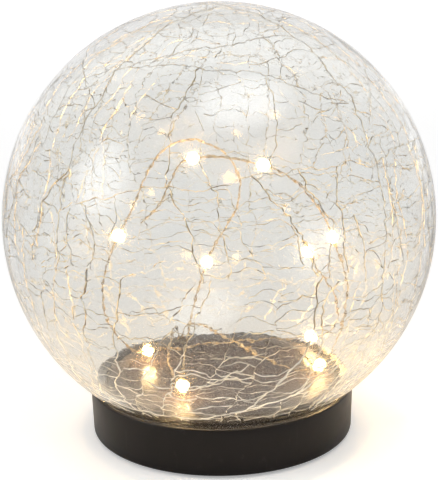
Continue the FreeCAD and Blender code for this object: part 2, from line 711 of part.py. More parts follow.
def inner_cover():
    """Disc inside the neck that hides the electronics and holds the panel."""
    body = new_body("inner_cover")
    edge = "dims.deck_edge"
    skirt = f"({DECK_RADIUS} - dims.skirt_wall)"
    low = f"({DECK_HEIGHT} - dims.skirt_depth)"
    seat = f"({DECK_HEIGHT} - {RECESS_DEPTH})"
    revolve(body, "disc", (
        ("0", DECK_UNDER),
        (skirt, DECK_UNDER),
        (skirt, low),
        (DECK_RADIUS, low),
        (DECK_RADIUS, f"{DECK_HEIGHT} - {edge}", edge, 1),
        (f"{DECK_RADIUS} - {edge}", DECK_HEIGHT),
        (RECESS_RADIUS, DECK_HEIGHT),
        (RECESS_RADIUS, seat),
        ("0", seat),
    ))
    sketch = sketch_on(body, "boss_outline", "XY_Plane")
    ring(sketch, "0", f"-{BOSS_CIRCLE}", "dims.boss_radius")
    boss = grow(body, sketch, "boss", f"{DECK_UNDER} + dims.boss_root")
    sketch = sketch_on(body, "pilot_outline", "XY_Plane")
    ring(sketch, "0", f"-{BOSS_CIRCLE}", PILOT)
    screw_end = "(dims.foot_stand + dims.screw_seat + dims.screw_length)"
    pilot = cut(body, sketch, "pilot", f"{screw_end} + dims.pilot_room - {BOSS_TOP}")
    polar(body, "bosses", [boss, pilot], 3)
    sketch = sketch_on(body, "exit_outline", "XY_Plane")
    ring(sketch, EXIT_X, EXIT_Y, "dims.grommet_radius + dims.thread_fit")
    cut(body, sketch, "string_exit", DECK_HEIGHT)
    sketch = sketch_on(body, "lead_hole_outline", "XY_Plane")
    ring(sketch, "dims.panel_lead_x", "dims.panel_lead_y", "dims.lead_hole")
    cut(body, sketch, "panel_lead_hole", DECK_HEIGHT)
    place(body, up=BOSS_TOP)
    return body


def cover_screws():
    """Pan-head screws, driven up from below."""
    screws = []
    for index in range(3):
        head = cylinder(f"cover_head_{index}", "dims.screw_head", "dims.head_height")
        place(head, up="-dims.head_height")
        socket = cylinder(f"cover_drive_{index}", "dims.drive_radius", "dims.drive_depth")
        place(socket, up="-dims.head_height")
        shank = cylinder(f"cover_shank_{index}", "dims.screw_radius", "dims.screw_length")
        whole = fuse(f"cover_blank_{index}", [head, shank])
        screw = cut_away(f"cover_screw_{index}", whole, socket)
        turn = 120 * index
        across = f"{BOSS_CIRCLE} * sin({turn})"
        back = f"-{BOSS_CIRCLE} * cos({turn})"
        place(screw, across, back, "dims.foot_stand + dims.screw_seat")
        screws.append(screw)
    return group("cover_screws", screws)


def panel_pad():
    pad = cylinder("pad_disc", PANEL_RADIUS, "dims.pad_thickness")
    hole = cylinder("pad_hole", "dims.lead_hole", "dims.pad_thickness")
    place(hole, "dims.panel_lead_x", "dims.panel_lead_y")
    ready = cut_away("panel_pad", pad, hole)
    place(ready, up=f"{DECK_TOP} - {RECESS_DEPTH}")
    return ready


def solar_panel():
    body = new_body("solar_panel")
    edge = "dims.panel_bevel"
    revolve(body, "plate", (
        ("0", "0"),
        (PANEL_RADIUS, "0"),
        (PANEL_RADIUS, f"dims.panel_thickness - {edge}"),
        (f"{PANEL_RADIUS} - {edge}", "dims.panel_thickness"),
        ("0", "dims.panel_thickness"),
    ))
    place(body, up=f"{DECK_TOP} - dims.panel_thickness")
    return body


def string_grommet():
    """Soft bush with a flange above and below the cover, and two bores."""
    body = new_body("string_grommet")
    thick = f"({RECESS_DEPTH} + dims.deck_floor)"
    flange = "dims.grommet_flange"
    high = "dims.flange_height"
    edge = "dims.flange_edge"
    revolve(body, "bush", (
        ("0", f"-{thick} - {high}"),
        (flange, f"-{thick} - {high}"),
        (flange, f"-{thick}"),
        ("dims.grommet_radius", f"-{thick}"),
        ("dims.grommet_radius", "0"),
        (flange, "0"),
        (flange, f"{high} - {edge}", edge, 1),
        (f"{flange} - {edge}", high),
        ("0", high),
    ))
    sketch = sketch_on(body, "bore_outline", "XY_Plane", f"-{thick} - {high}")
    for side in ("-", ""):
        spread = f"{side}dims.string_spread"
        ring(sketch, spread, "0", "dims.string_radius + dims.thread_fit")
    cut(body, sketch, "bores", f"{thick} + 2 * {high}")
    place(body, EXIT_X, EXIT_Y, DECK_TOP)
    return body


# Power and switch


def battery_holder():
    """Open-bottomed cradle over the cell."""
    wall = "dims.holder_wall"
    inside_top = f"({HOLDER_INSIDE} - {FLOOR_TOP})"
    body = new_body("battery_holder")
    sketch = sketch_on(body, "case_outline", "XY_Plane")
    half = f"({BAY_LENGTH} / 2 + {wall})"
    side = f"({BAY_HALF} + {wall})"
    oblong(sketch, f"-{half}", half, f"-{side}", side, "dims.holder_corner")
    grow(body, sketch, "case", f"{inside_top} + {wall}")
    sketch = sketch_on(body, "hollow_outline", "XY_Plane")
    oblong(sketch, f"-{BAY_LENGTH} / 2", f"{BAY_LENGTH} / 2", f"-{BAY_HALF}", BAY_HALF)
    cut(body, sketch, "hollow", inside_top)
    sketch = sketch_on(body, "lead_slot_outline", "YZ_Plane", f"-{half}")
    ring(sketch, "0", f"{LEAD_HEIGHT} - {FLOOR_TOP}", "dims.lead_radius + dims.lead_clear")
    cut(body, sketch, "lead_holes", f"2 * {half}")
    place(body, back="dims.bay_y", up=FLOOR_TOP)
    return body


def battery_cell():
    """AAA cell lying across, button to the left."""
    can = cylinder("cell_can", "dims.cell_radius", "dims.cell_length")
    button = cylinder("cell_button", "dims.button_radius", "dims.button_height")
    place(button, up="dims.cell_length")
    cell = fuse("battery_cell", [can, button])
    cell.Placement.Rotation = FreeCAD.Rotation(FreeCAD.Vector(0, 1, 0), -90)
    start = (
        f"-{BAY_LENGTH} / 2 + dims.bay_clear + dims.plate_thickness"
        " + dims.button_height + dims.cell_length"
    )
    place(cell, start, "dims.bay_y", CELL_HEIGHT)
    return cell


def battery_plates():
    """Sprung steel contact plates at both ends of the holder."""
    plates = []
    side = f"({BAY_HALF} - dims.plate_clear)"
    high = "dims.plate_height"
    for name, start in (
        ("left", f"-{BAY_LENGTH} / 2 + dims.bay_clear"),
        ("right", f"{BAY_LENGTH} / 2 - dims.bay_clear - dims.plate_thickness"),
    ):
        plate = box(f"{name}_plate", "dims.plate_thickness", f"2 * {side}", high)
        place(plate, start, f"dims.bay_y - {side}", f"{CELL_HEIGHT} - {high} / 2")
        plates.append(plate)
    return group("battery_plates", plates)


def battery_door():
    """Flush door with a rolled hinge edge, two pins and a screw tab."""
    thick = "dims.door_thickness"
    plate = box("door_plate", f"2 * {DOOR_HALF}", f"{HINGE_Y} - {DOOR_FRONT}", thick)
    place(plate, f"-{DOOR_HALF}", DOOR_FRONT)
    barrel = cylinder("door_barrel", "dims.barrel_radius", f"2 * {DOOR_HALF}")
    barrel.Placement.Rotation = FreeCAD.Rotation(FreeCAD.Vector(0, 1, 0), 90)
    place(barrel, f"-{DOOR_HALF}", HINGE_Y, "dims.barrel_radius")
    pin = cylinder("door_pin", "dims.pin_radius", f"2 * ({DOOR_HALF} + dims.pin_length)")
    pin.Placement.Rotation = FreeCAD.Rotation(FreeCAD.Vector(0, 1, 0), 90)
    place(pin, f"-{DOOR_HALF} - dims.pin_length", HINGE_Y, "dims.barrel_radius")
    tab = cylinder("door_tab", "dims.tab_radius", thick)
    place(tab, "0", TAB_Y)
    whole = fuse("door_blank", [plate, barrel, pin, tab])
    sink = cylinder("door_sink", "dims.door_screw_head + dims.screw_clear", "dims.door_head_sink")
    place(sink, "0", TAB_Y)
    hole = cylinder("door_hole", "dims.door_screw_radius + dims.thread_fit", thick)
    place(hole, "0", TAB_Y)
    door = cut_away("battery_door", whole, fuse("door_bore", [sink, hole]))
    place(door, up="dims.foot_stand")
    return door


def door_screw():
    """Captive screw in the door's tab."""
    seat = "dims.door_head_sink - dims.door_head_height"
    head = cylinder("door_screw_head", "dims.door_screw_head", "dims.door_head_height")
    place(head, up=seat)
    drive = cylinder("door_screw_drive", "dims.small_drive_radius", "dims.small_drive_depth")
    place(drive, up=seat)
    shank = cylinder("door_screw_shank", "dims.door_screw_radius", "dims.door_screw_length")
    place(shank, up="dims.door_head_sink")
    whole = fuse("door_screw_blank", [head, shank])
    screw = cut_away("door_screw", whole, drive)
    place(screw, "0", TAB_Y, "dims.foot_stand")
    return screw


def door_seal():
    """Soft frame on the door, pressed to the ledge round the opening."""
    body = new_body("door_seal")
    sketch = sketch_on(body, "seal_outline", "XY_Plane")
    long = f"({BAY_LENGTH} / 2 + dims.seal_clear)"
    side = f"({BAY_HALF} + dims.seal_clear)"
    outer_long = f"({long} + dims.seal_width)"
    outer_side = f"({side} + dims.seal_width)"
    oblong(sketch, f"-{outer_long}", outer_long, f"-{outer_side}", outer_side)
    oblong(sketch, f"-{long}", long, f"-{side}", side)
    grow(body, sketch, "seal", "dims.seal_thickness")
    place(body, back="dims.bay_y", up="dims.foot_stand + dims.door_thickness")
    return body


def circuit_board():
    body = new_body("circuit_board")
    sketch = sketch_on(body, "board_outline", "XY_Plane")
    half = "(dims.board_length / 2)"
    front = "(dims.board_y - dims.board_width / 2)"
    back = "(dims.board_y + dims.board_width / 2)"
    oblong(sketch, f"-{half}", half, front, back, "dims.board_corner")
    grow(body, sketch, "board", "dims.board_thickness")
    sketch = sketch_on(body, "hole_outline", "XY_Plane")
    for side in ("-", ""):
        across = f"{side}dims.board_screw_x"
        ring(sketch, across, "dims.board_screw_y", "dims.board_screw_radius + dims.screw_clear")
    cut(body, sketch, "screw_holes", "dims.board_thickness")
    place(body, up=BOARD_UNDER)
    return body


def board_screws():
    screws = []
    for side, name in (("-", "left"), ("", "right")):
        head = cylinder(f"{name}_head", "dims.board_screw_head", "dims.board_head_height")
        drive = cylinder(f"{name}_drive", "dims.small_drive_radius", "dims.small_drive_depth")
        place(drive, up="dims.board_head_height - dims.small_drive_depth")
        shank = cylinder(f"{name}_shank", "dims.board_screw_radius", "dims.board_screw_length")
        place(shank, up="-dims.board_screw_length")
        whole = fuse(f"{name}_blank", [head, shank])
        screw = cut_away(f"{name}_board_screw", whole, drive)
        place(screw, f"{side}dims.board_screw_x", "dims.board_screw_y", BOARD_TOP)
        screws.append(screw)
    return group("board_screws", screws)


def driver_chip():
    chip = box("driver_chip", "dims.driver_length", "dims.driver_width", "dims.driver_height")
    place(chip, "dims.driver_x", "dims.board_y - dims.driver_y", BOARD_TOP)
    return chip


def boost_inductor():
    """Drum core: two flanges on a narrower waist."""
    body = new_body("boost_inductor")
    wide = "dims.inductor_radius"
    waist = "dims.inductor_waist"
    high = "dims.inductor_height"
    flange = "dims.inductor_flange"
    slope = "dims.inductor_slope"
    revolve(body, "drum", (
        ("0", "0"),
        (wide, "0"),
        (wide, flange),
        (waist, f"{flange} + {slope}"),
        (waist, f"{high} - {flange} - {slope}"),
        (wide, f"{high} - {flange}"),
        (wide, high),
        ("0", high),
    ))
    place(body, "-dims.inductor_x", "dims.board_y + dims.inductor_y", BOARD_TOP)
    return body


def storage_capacitor():
    can = cylinder("storage_capacitor", "dims.capacitor_radius", "dims.capacitor_height")
    place(can, "-dims.capacitor_x", "dims.board_y - dims.capacitor_y", BOARD_TOP)
    return can


def switch_case():
    body = new_body("switch_case")
    sketch = sketch_on(body, "case_outline", "XY_Plane")
    long = "(dims.switch_length / 2)"
    side = "(dims.switch_width / 2)"
    oblong(sketch, f"-{long}", long, f"-{side}", side)
    grow(body, sketch, "case", "dims.switch_height")
    sketch = sketch_on(body, "track_outline", "XY_Plane")
    run = "((dims.slider_length + dims.switch_travel) / 2 + dims.slider_gap)"
    width = "(dims.slider_width / 2 + dims.slider_gap)"
    oblong(sketch, f"-{run}", run, f"-{width}", width)
    cut(body, sketch, "track", "dims.slider_depth + dims.slider_gap")
    place(body, "dims.switch_x", "dims.switch_y", f"{BOARD_UNDER} - dims.switch_height")
    return body


def switch_slider():
    """Slider with a ribbed knob, at its on end."""
    case_low = f"({BOARD_UNDER} - dims.switch_height)"
    knob_low = "(dims.foot_stand + dims.knob_sink)"
    slab = box("slider_slab", "dims.slider_length", "dims.slider_width", "dims.slider_depth")
    place(slab, "-dims.slider_length / 2", "-dims.slider_width / 2", f"{case_low} - {knob_low}")
    knob = box("slider_knob", "dims.knob_length", "dims.knob_width", f"{case_low} - {knob_low}")
    place(knob, "-dims.knob_length / 2", "-dims.knob_width / 2")
    grooves = []
    for index in range(GRIP_GROOVES):
        groove = box(f"knob_groove_{index}", "dims.groove_width", "dims.knob_width", "dims.groove_depth")
        share = (index + 0.5) / GRIP_GROOVES - 0.5
        across = f"dims.knob_length * ({share:.6f}) - dims.groove_width / 2"
        place(groove, across, "-dims.knob_width / 2")
        grooves.append(groove)
    blank = fuse("slider_blank", [slab, knob])
    slider = cut_away("switch_slider", blank, fuse("knob_grooves", grooves))
    place(slider, KNOB_ON, "dims.switch_y", knob_low)
    return slider


# Wires and lights


def arc_at(first, corner, last):
    """Arc that leaves first towards corner and reaches last; also its radius."""
    back = (first - corner).normalize()
    ahead = (last - corner).normalize()
    turn = math.pi - back.getAngle(ahead)
    radius = (first - corner).Length / math.tan(turn / 2)
    inward = (back + ahead).normalize()
    bulge = radius / math.cos(turn / 2) - radius
    return Part.Arc(first, corner + inward * bulge, last).toShape(), radius


def rounded_path(points):
    """Straight runs joined by tangent arcs; also the smallest radius."""
    points = [FreeCAD.Vector(*point) for point in points]
    edges = []
    least = math.inf
    start = points[0]
    for before, corner, after in zip(points, points[1:], points[2:]):
        trim = BEND_SHARE * min(corner.distanceToPoint(before), corner.distanceToPoint(after))
        first = corner + (before - corner).normalize() * trim
        last = corner + (after - corner).normalize() * trim
        arc, radius = arc_at(first, corner, last)
        least = min(least, radius)
        edges.append(Part.LineSegment(start, first).toShape())
        edges.append(arc)
        start = last
    edges.append(Part.LineSegment(start, points[-1]).toShape())
    return Part.Wire(edges), least


def coil_path(radius, pitch, quarters):
    """Helix along X, each quarter turn as two arcs that share their tangents."""
    rise = FreeCAD.Vector(pitch / (2 * math.pi), 0, 0)
    places = []
    for step in range(quarters + 1):
        angle = step * math.pi / 2
        round_x = FreeCAD.Vector(0, math.cos(angle), math.sin(angle))
        way = FreeCAD.Vector(0, -math.sin(angle), math.cos(angle)) * radius + rise
        places.append((round_x * radius + rise * angle, way.normalize()))
    edges = []
    for (start, leave), (finish, arrive) in zip(places, places[1:]):
        chord = finish - start
        ways = leave + arrive
        spread = 2 * (1 - leave.dot(arrive))
        along = chord.dot(ways)
        reach = (math.sqrt(along**2 + spread * chord.dot(chord)) - along) / spread
        near = start + leave * reach
        far = finish - arrive * reach
        middle = (near + far) * 0.5
        edges.append(arc_at(start, near, middle)[0])
        edges.append(arc_at(middle, far, finish)[0])
    return Part.Wire(edges)


def swept(name, path, size):
    """Round tube of a radius along a path, checked by volume."""
    radius = number(size)
    edge = path.Edges[0]
    start = edge.valueAt(edge.FirstParameter)
    way = edge.tangentAt(edge.FirstParameter)
    section = Part.Wire(Part.Circle(start, way, radius).toShape())
    solid = path.makePipeShell([section], True, False)
    share = solid.Volume / (math.pi * radius**2 * path.Length)
    print(f"{name}: length {path.Length:.1f}, volume {share:.4f} of section times length")
    if abs(share - 1) > VOLUME_SLACK:
        raise RuntimeError(f"{name}: wrong volume")
    return solid


def tube(name, points, size):
    path, least = rounded_path(points)
    print(f"{name}: least radius {least:.1f}")
    return swept(name, path, size)


def feature(label, shape):
    item = doc.addObject("Part::Feature", label)
    item.Shape = shape
    return item


def over_cover(route):
    top = number(DECK_TOP)
    return tuple((x, y, top + rise) for x, y, rise in route)


def string_points(side, route):
    """A string starts on the board, rises through the grommet and follows its route."""
    across = number(EXIT_X) + side * number("dims.string_spread")
    back = number(EXIT_Y)
    start = number("dims.board_y + dims.board_width / 2 - dims.string_start")
    board = number(BOARD_TOP)
    lift = board + number("dims.string_lift")
    top = number(f"{DECK_TOP} + dims.string_stand")
    return (
        (across, start, board),
        (across, start, lift),
        (across, back, lift + number("dims.string_slope")),
        (across, back, top),
    ) + route


def light_string(label, side, route):
    points = string_points(side, route)
    return feature(label, tube(label, points, "dims.string_radius"))


def light_places(route, lights):
    """Middle and direction of each run that carries a light."""
    spots = []
    for index in lights:
        start = FreeCAD.Vector(*route[index])
        finish = FreeCAD.Vector(*route[index + 1])
        way = finish - start
        way.normalize()
        spots.append(((start + finish) * 0.5, way))
    return spots


def chip_frame(spot, way):
    """Placement on a wire with X along it."""
    side = way.cross(FreeCAD.Vector(0.3, 1.0, 0.2))
    side.normalize()
    turn = FreeCAD.Rotation(way, side, way.cross(side), "XYZ")
    return FreeCAD.Placement(spot, turn)


def led_chips(spots):
    chips = []
    size = "dims.chip_size"
    for index, (spot, way) in enumerate(spots):
        chip = box(f"chip_{index}", size, size, "dims.chip_thickness")
        corner = -number(size) / 2
        offset = FreeCAD.Vector(corner, corner, number("dims.string_radius + dims.seat_clear"))
        frame = chip_frame(spot, way)
        chip.Placement = FreeCAD.Placement(frame.multVec(offset), frame.Rotation)
        chips.append(chip)
    return group("led_chips", chips)


def led_beads(spots, inside):
    """Clear resin drops that close over a chip and its wires."""
    beads = []
    for index, (spot, way) in enumerate(spots):
        drop = doc.addObject("Part::Ellipsoid", f"drop_{index}")
        drop.Angle1 = -90
        drop.Angle2 = 90
        bind(drop, Radius1="dims.bead_radius", Radius2="dims.bead_half", Radius3="dims.bead_radius")
        frame = chip_frame(spot, way)
        upright = FreeCAD.Rotation(FreeCAD.Vector(0, 1, 0), 90)
        drop.Placement = FreeCAD.Placement(spot, frame.Rotation.multiply(upright))
        beads.append(drop)
    whole = doc.addObject("Part::Compound", "drops")
    whole.Links = beads
    core = fuse("bead_cores", inside)
    ready = cut_away("led_beads", whole, core)
    return ready


def leads(label, routes):
    shapes = [tube(f"{label} {n}", r, "dims.lead_radius") for n, r in enumerate(routes)]
    return feature(label, Part.makeCompound(shapes))


def panel_leads():
    across = number("dims.panel_lead_x")
    back = number("dims.panel_lead_y")
    front = back - number("dims.lead_shift")
    apart = number("dims.lead_apart")
    apart_low = number("dims.lead_apart_low")
    top = number(f"{DECK_TOP} - dims.panel_thickness")
    low = number(BOARD_TOP)
    routes = []
    for side in (-1, 1):
        routes.append((
            (across + side * apart, back, top),
            (across + side * apart, back, top - number("dims.lead_drop")),
            (across + side * apart_low, front, low + number("dims.lead_stand")),
            (across + side * apart_low, front, low),
        ))
    return leads("panel_leads", routes)


def battery_spring():
    """Pressed coil between the cell's flat end and the right-hand plate."""
    wire = number("dims.spring_wire")
    room = number("dims.spring_length - 2 * (dims.spring_wire + dims.seat_clear)")
    turns = SPRING_TURNS
    pitch = room / turns
    path = coil_path(number("dims.spring_radius"), pitch, 4 * turns)
    print(f"battery_spring: least gap to itself {pitch - 2 * wire:.2f}")
    coil = feature("battery_spring", swept("battery_spring", path, "dims.spring_wire"))
    start = f"{BAY_LENGTH} / 2 - dims.bay_clear - dims.plate_thickness - dims.spring_length"
    place(coil, f"{start} + dims.spring_wire + dims.seat_clear", "dims.bay_y", CELL_HEIGHT)
    return coil


def battery_leads():
    routes = []
    for side in (-1, 1):
        start = number(f"{BAY_LENGTH} / 2 - dims.bay_clear")
        high = number(LEAD_HEIGHT)
        first = (side * start, number("dims.bay_y"), high)
        route = [(side * x, y, high + rise) for x, y, rise in BATTERY_ROUTE]
        last = route[-1]
        routes.append([first] + route + [(last[0], last[1], number(BOARD_TOP))])
    return leads("battery_leads", routes)


def check(parts):
    """Stops on a failed or empty object."""
    for piece in doc.Objects:
        if "Invalid" in piece.State or "Error" in piece.State:
            raise RuntimeError(f"{piece.Label}: {piece.State}")
    for part in parts:
        if part.Shape.isNull() or not part.Shape.isValid():
            raise RuntimeError(f"{part.Label}: bad shape")


def main():
    left_route = over_cover(LEFT_ROUTE)
    right_route = over_cover(RIGHT_ROUTE)
    left = light_string("light_string_left", -1, left_route)
    right = light_string("light_string_right", 1, right_route)
    spots = light_places(left_route, LEFT_RUN_INDEX)
    spots += light_places(right_route, RIGHT_RUN_INDEX)
    chips = led_chips(spots)
    parts = [
        glass_globe(), globe_gasket(), globe_sealant(),
        base_housing(), rubber_feet(),
        inner_cover(), cover_screws(), panel_pad(), solar_panel(), string_grommet(),
        battery_holder(), battery_cell(), battery_plates(), battery_spring(),
        battery_door(), door_screw(), door_seal(),
        circuit_board(), board_screws(), driver_chip(), boost_inductor(),
        storage_capacitor(), switch_case(), switch_slider(),
        left, right, chips, led_beads(spots, [left, right, chips]),
        panel_leads(), battery_leads(),
    ]
    doc.recompute()
    check(parts)
    os.makedirs("parts", exist_ok=True)
    for part in parts:
        part.Shape.exportStep(os.path.join("parts", f"{part.Label}.step"))
        print(f"{part.Label}: {len(part.Shape.Solids)} solids, {part.Shape.Volume:.0f} mm3")


main()
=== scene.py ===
import math
import random

import bpy
from mathutils import Matrix, Vector, noise


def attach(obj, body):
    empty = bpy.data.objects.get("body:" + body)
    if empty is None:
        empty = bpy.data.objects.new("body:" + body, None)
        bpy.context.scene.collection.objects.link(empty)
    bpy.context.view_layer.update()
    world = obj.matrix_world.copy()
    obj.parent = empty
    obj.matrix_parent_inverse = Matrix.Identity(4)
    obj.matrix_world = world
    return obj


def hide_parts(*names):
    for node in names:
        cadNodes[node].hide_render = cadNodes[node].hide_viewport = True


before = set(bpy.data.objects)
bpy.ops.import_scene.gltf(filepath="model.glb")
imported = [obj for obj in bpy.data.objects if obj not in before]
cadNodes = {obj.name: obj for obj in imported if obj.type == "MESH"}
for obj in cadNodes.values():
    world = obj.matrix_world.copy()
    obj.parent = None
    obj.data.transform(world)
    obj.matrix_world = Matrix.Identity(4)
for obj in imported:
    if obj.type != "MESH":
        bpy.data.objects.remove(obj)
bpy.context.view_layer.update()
scene = bpy.context.scene
mm = 0.001
weldReach = 1e-6
creaseAngle = math.radians(32)


# camera, at the photograph's angle

camera = {
    "distance": 0.525,  # from the middle of the globe
    "height": 0.0776,
    "tilt": 15.4,
    "roll": -0.99,
    "lens": 112.9,
    "sensor": 36,
    "shiftUp": -0.046,
    "clip": (0.05, 20),
}


def addCamera():
    tilt = math.radians(camera["tilt"])
    reach = camera["distance"]
    place = Vector((0, -reach * math.cos(tilt), camera["height"] + reach * math.sin(tilt)))
    look = (Vector((0, 0, camera["height"])) - place).to_track_quat("-Z", "Y")
    turn = look.to_matrix() @ Matrix.Rotation(math.radians(camera["roll"]), 3, "Z")
    bpy.ops.object.camera_add(location=place, rotation=turn.to_euler())
    eye = bpy.context.object
    eye.data.lens = camera["lens"]
    eye.data.sensor_width = camera["sensor"]
    eye.data.shift_y = camera["shiftUp"]
    eye.data.clip_start, eye.data.clip_end = camera["clip"]
    scene.camera = eye


addCamera()
print("camera set")


# small helpers


def deselect():
    bpy.ops.object.select_all(action="DESELECT")


def activate(piece):
    deselect()
    piece.select_set(True)
    bpy.context.view_layer.objects.active = piece


def meshPiece(name, points, faces):
    mesh = bpy.data.meshes.new(name)
    mesh.from_pydata(points, [], faces)
    piece = bpy.data.objects.new(name, mesh)
    scene.collection.objects.link(piece)
    return piece


def smooth(piece, angle=30):
    activate(piece)
    bpy.ops.object.shade_smooth_by_angle(angle=math.radians(angle))


def setMaterial(piece, material):
    piece.data.materials.clear()
    piece.data.materials.append(material)


# shader helpers


class Tree:
    def __init__(self, tree):
        self.tree = tree
        self.column = 0

    def add(self, kind, inputs=None, **settings):
        node = self.tree.nodes.new(kind)
        node.location = (self.column * 190, -(self.column % 4) * 160)
        self.column += 1
        for key, value in settings.items():
            setattr(node, key, value)
        for key, value in (inputs or {}).items():
            if isinstance(value, bpy.types.NodeSocket):
                self.tree.links.new(value, node.inputs[key])
            else:
                node.inputs[key].default_value = value
        return node

    def math(self, operation, first, second=0.0, clamp=False):
        return self.add(
            "ShaderNodeMath", {0: first, 1: second}, operation=operation, use_clamp=clamp
        ).outputs[0]

    def scaled(self, value, by, plus):
        return self.add(
            "ShaderNodeMath", {0: value, 1: by, 2: plus}, operation="MULTIPLY_ADD"
        ).outputs[0]

    def fit(self, value, low, high, toLow=0.0, toHigh=1.0):
        return self.add(
            "ShaderNodeMapRange",
            {"Value": value, "From Min": low, "From Max": high, "To Min": toLow, "To Max": toHigh},
            interpolation_type="SMOOTHSTEP",
        ).outputs["Result"]

    def blend(self, share, first, second):
        node = self.add("ShaderNodeMix", data_type="RGBA")
        for socket, value in ((0, share), (6, first), (7, second)):
            if isinstance(value, bpy.types.NodeSocket):
                self.tree.links.new(value, node.inputs[socket])
            else:
                node.inputs[socket].default_value = value
        return node.outputs[2]

    def place(self):
        return self.add("ShaderNodeTexCoord").outputs["Object"]

    def axis(self, vector, name):
        return self.add("ShaderNodeSeparateXYZ", {0: vector}).outputs[name]

    def cloud(self, place, scale, detail, **more):
        inputs = {"Vector": place, "Scale": scale, "Detail": detail, **more}
        return self.add("ShaderNodeTexNoise", inputs).outputs["Fac"]

    def bump(self, height, strength, distance):
        inputs = {"Height": height, "Strength": strength, "Distance": distance}
        return self.add("ShaderNodeBump", inputs).outputs[0]


def colour(red, green, blue):
    return (red, green, blue, 1.0)


def newMaterial(name):
    material = bpy.data.materials.new(name)
    material.use_nodes = True
    material.node_tree.nodes.clear()
    return material, Tree(material.node_tree)


def newGroup(name, takes, gives):
    tree = bpy.data.node_groups.new(name, "ShaderNodeTree")
    for label, kind, value in takes:
        socket = tree.interface.new_socket(label, in_out="INPUT", socket_type=kind)
        socket.default_value = value
    for label, kind in gives:
        tree.interface.new_socket(label, in_out="OUTPUT", socket_type=kind)
    build = Tree(tree)
    return tree, build, build.add("NodeGroupInput").outputs, build.add("NodeGroupOutput").inputs


number, paint = "NodeSocketFloat", "NodeSocketColor"


def makeMottle():
    # slow drift of colour and gloss that every moulded or cast surface has
    tree, build, take, give = newGroup(
        "mottle",
        [
            ("Light", paint, colour(0.5, 0.5, 0.5)),
            ("Dark", paint, colour(0.4, 0.4, 0.4)),
            ("Scale", number, 60.0),
            ("Gloss", number, 0.4),
            ("Spread", number, 0.1),
        ],
        [("Colour", paint), ("Roughness", number)],
    )
    drifting = build.cloud(build.place(), take["Scale"], 5.0, Roughness=0.62)
    mask = build.fit(drifting, 0.32, 0.68)
    build.tree.links.new(build.blend(mask, take["Dark"], take["Light"]), give["Colour"])
    rough = build.scaled(mask, take["Spread"], take["Gloss"])
    build.tree.links.new(rough, give["Roughness"])
    return tree


def makeGrain():
    # spark-eroded mould grain with a few fine scuffs
    tree, build, take, give = newGroup(
        "mouldGrain",
        [("Scale", number, 2500.0), ("Scuffs", number, 0.3)],
        [("Height", number), ("Scuffed", number)],
    )
    place = build.place()
    pits = build.cloud(place, take["Scale"], 3.0)
    turned = build.add(
        "ShaderNodeMapping", {"Vector": place, "Rotation": (0.4, 0.2, 0.9), "Scale": (1, 9, 1)}
    ).outputs["Vector"]
    lines = build.cloud(turned, 110.0, 6.0, Distortion=0.6)
    scuffed = build.math("MULTIPLY", build.fit(lines, 0.63, 0.7), take["Scuffs"])
    build.tree.links.new(build.math("SUBTRACT", pits, scuffed), give["Height"])
    build.tree.links.new(scuffed, give["Scuffed"])
    return tree


def makeDust():
    # pale dust that settles on faces that look up
    tree, build, take, give = newGroup(
        "dust", [("Amount", number, 0.3), ("Scale", number, 400.0)], [("Mask", number)]
    )
    normal = build.add("ShaderNodeNewGeometry").outputs["Normal"]
    specks = build.cloud(build.place(), take["Scale"], 6.0)
    lying = build.fit(build.axis(normal, "Z"), 0.4, 1.0)
    mask = build.math("MULTIPLY", lying, build.fit(specks, 0.5, 0.75))
    build.tree.links.new(build.math("MULTIPLY", mask, take["Amount"]), give["Mask"])
    return tree


mottle, mouldGrain, dust = makeMottle(), makeGrain(), makeDust()


def group(build, tree, inputs):
    return build.add("ShaderNodeGroup", inputs, node_tree=tree).outputs


def surface(build, inputs):
    shader = build.add("ShaderNodeBsdfPrincipled", inputs).outputs[0]
    build.add("ShaderNodeOutputMaterial", {"Surface": shader})


def clearedFor(build, rays, inputs, seeThrough):
    # a surface that lets the named rays pass
    shader = build.add("ShaderNodeBsdfPrincipled", inputs).outputs[0]
    clear = build.add("ShaderNodeBsdfTransparent", {"Color": seeThrough}).outputs[0]
    both = build.add("ShaderNodeMixShader", {0: rays, 1: shader, 2: clear}).outputs[0]
    build.add("ShaderNodeOutputMaterial", {"Surface": both})


def moulded(name, values):
    # satin or glossy moulded plastic and rubber
    material, build = newMaterial(name)
    base = group(build, mottle, {
        "Light": values["light"], "Dark": values["dark"], "Scale": values.get("scale", 60.0),
        "Gloss": values["rough"], "Spread": values.get("spread", 0.08),
    })
    grain = group(build, mouldGrain, {
        "Scale": values.get("grain", 2500.0), "Scuffs": values.get("scuffs", 0.3),
    })
    settled = group(build, dust, {"Amount": values.get("dust", 0.15)})
    scuffed = build.blend(grain["Scuffed"], base["Colour"], values.get("worn", values["light"]))
    dusty = build.blend(settled["Mask"], scuffed, colour(0.35, 0.33, 0.3))
    bump = build.bump(grain["Height"], values.get("bump", 0.12), 0.0002)
    surface(build, {
        "Base Color": dusty,
        "Roughness": build.math("ADD", base["Roughness"], settled["Mask"]),
        "Normal": bump,
        "IOR": values.get("ior", 1.5),
        "Coat Weight": values.get("coat", 0.0),
        "Coat Roughness": 0.08,
        "Metallic": values.get("metal", 0.0),
        "Specular IOR Level": values.get("shine", 0.5),
    })
    return material


# light wires

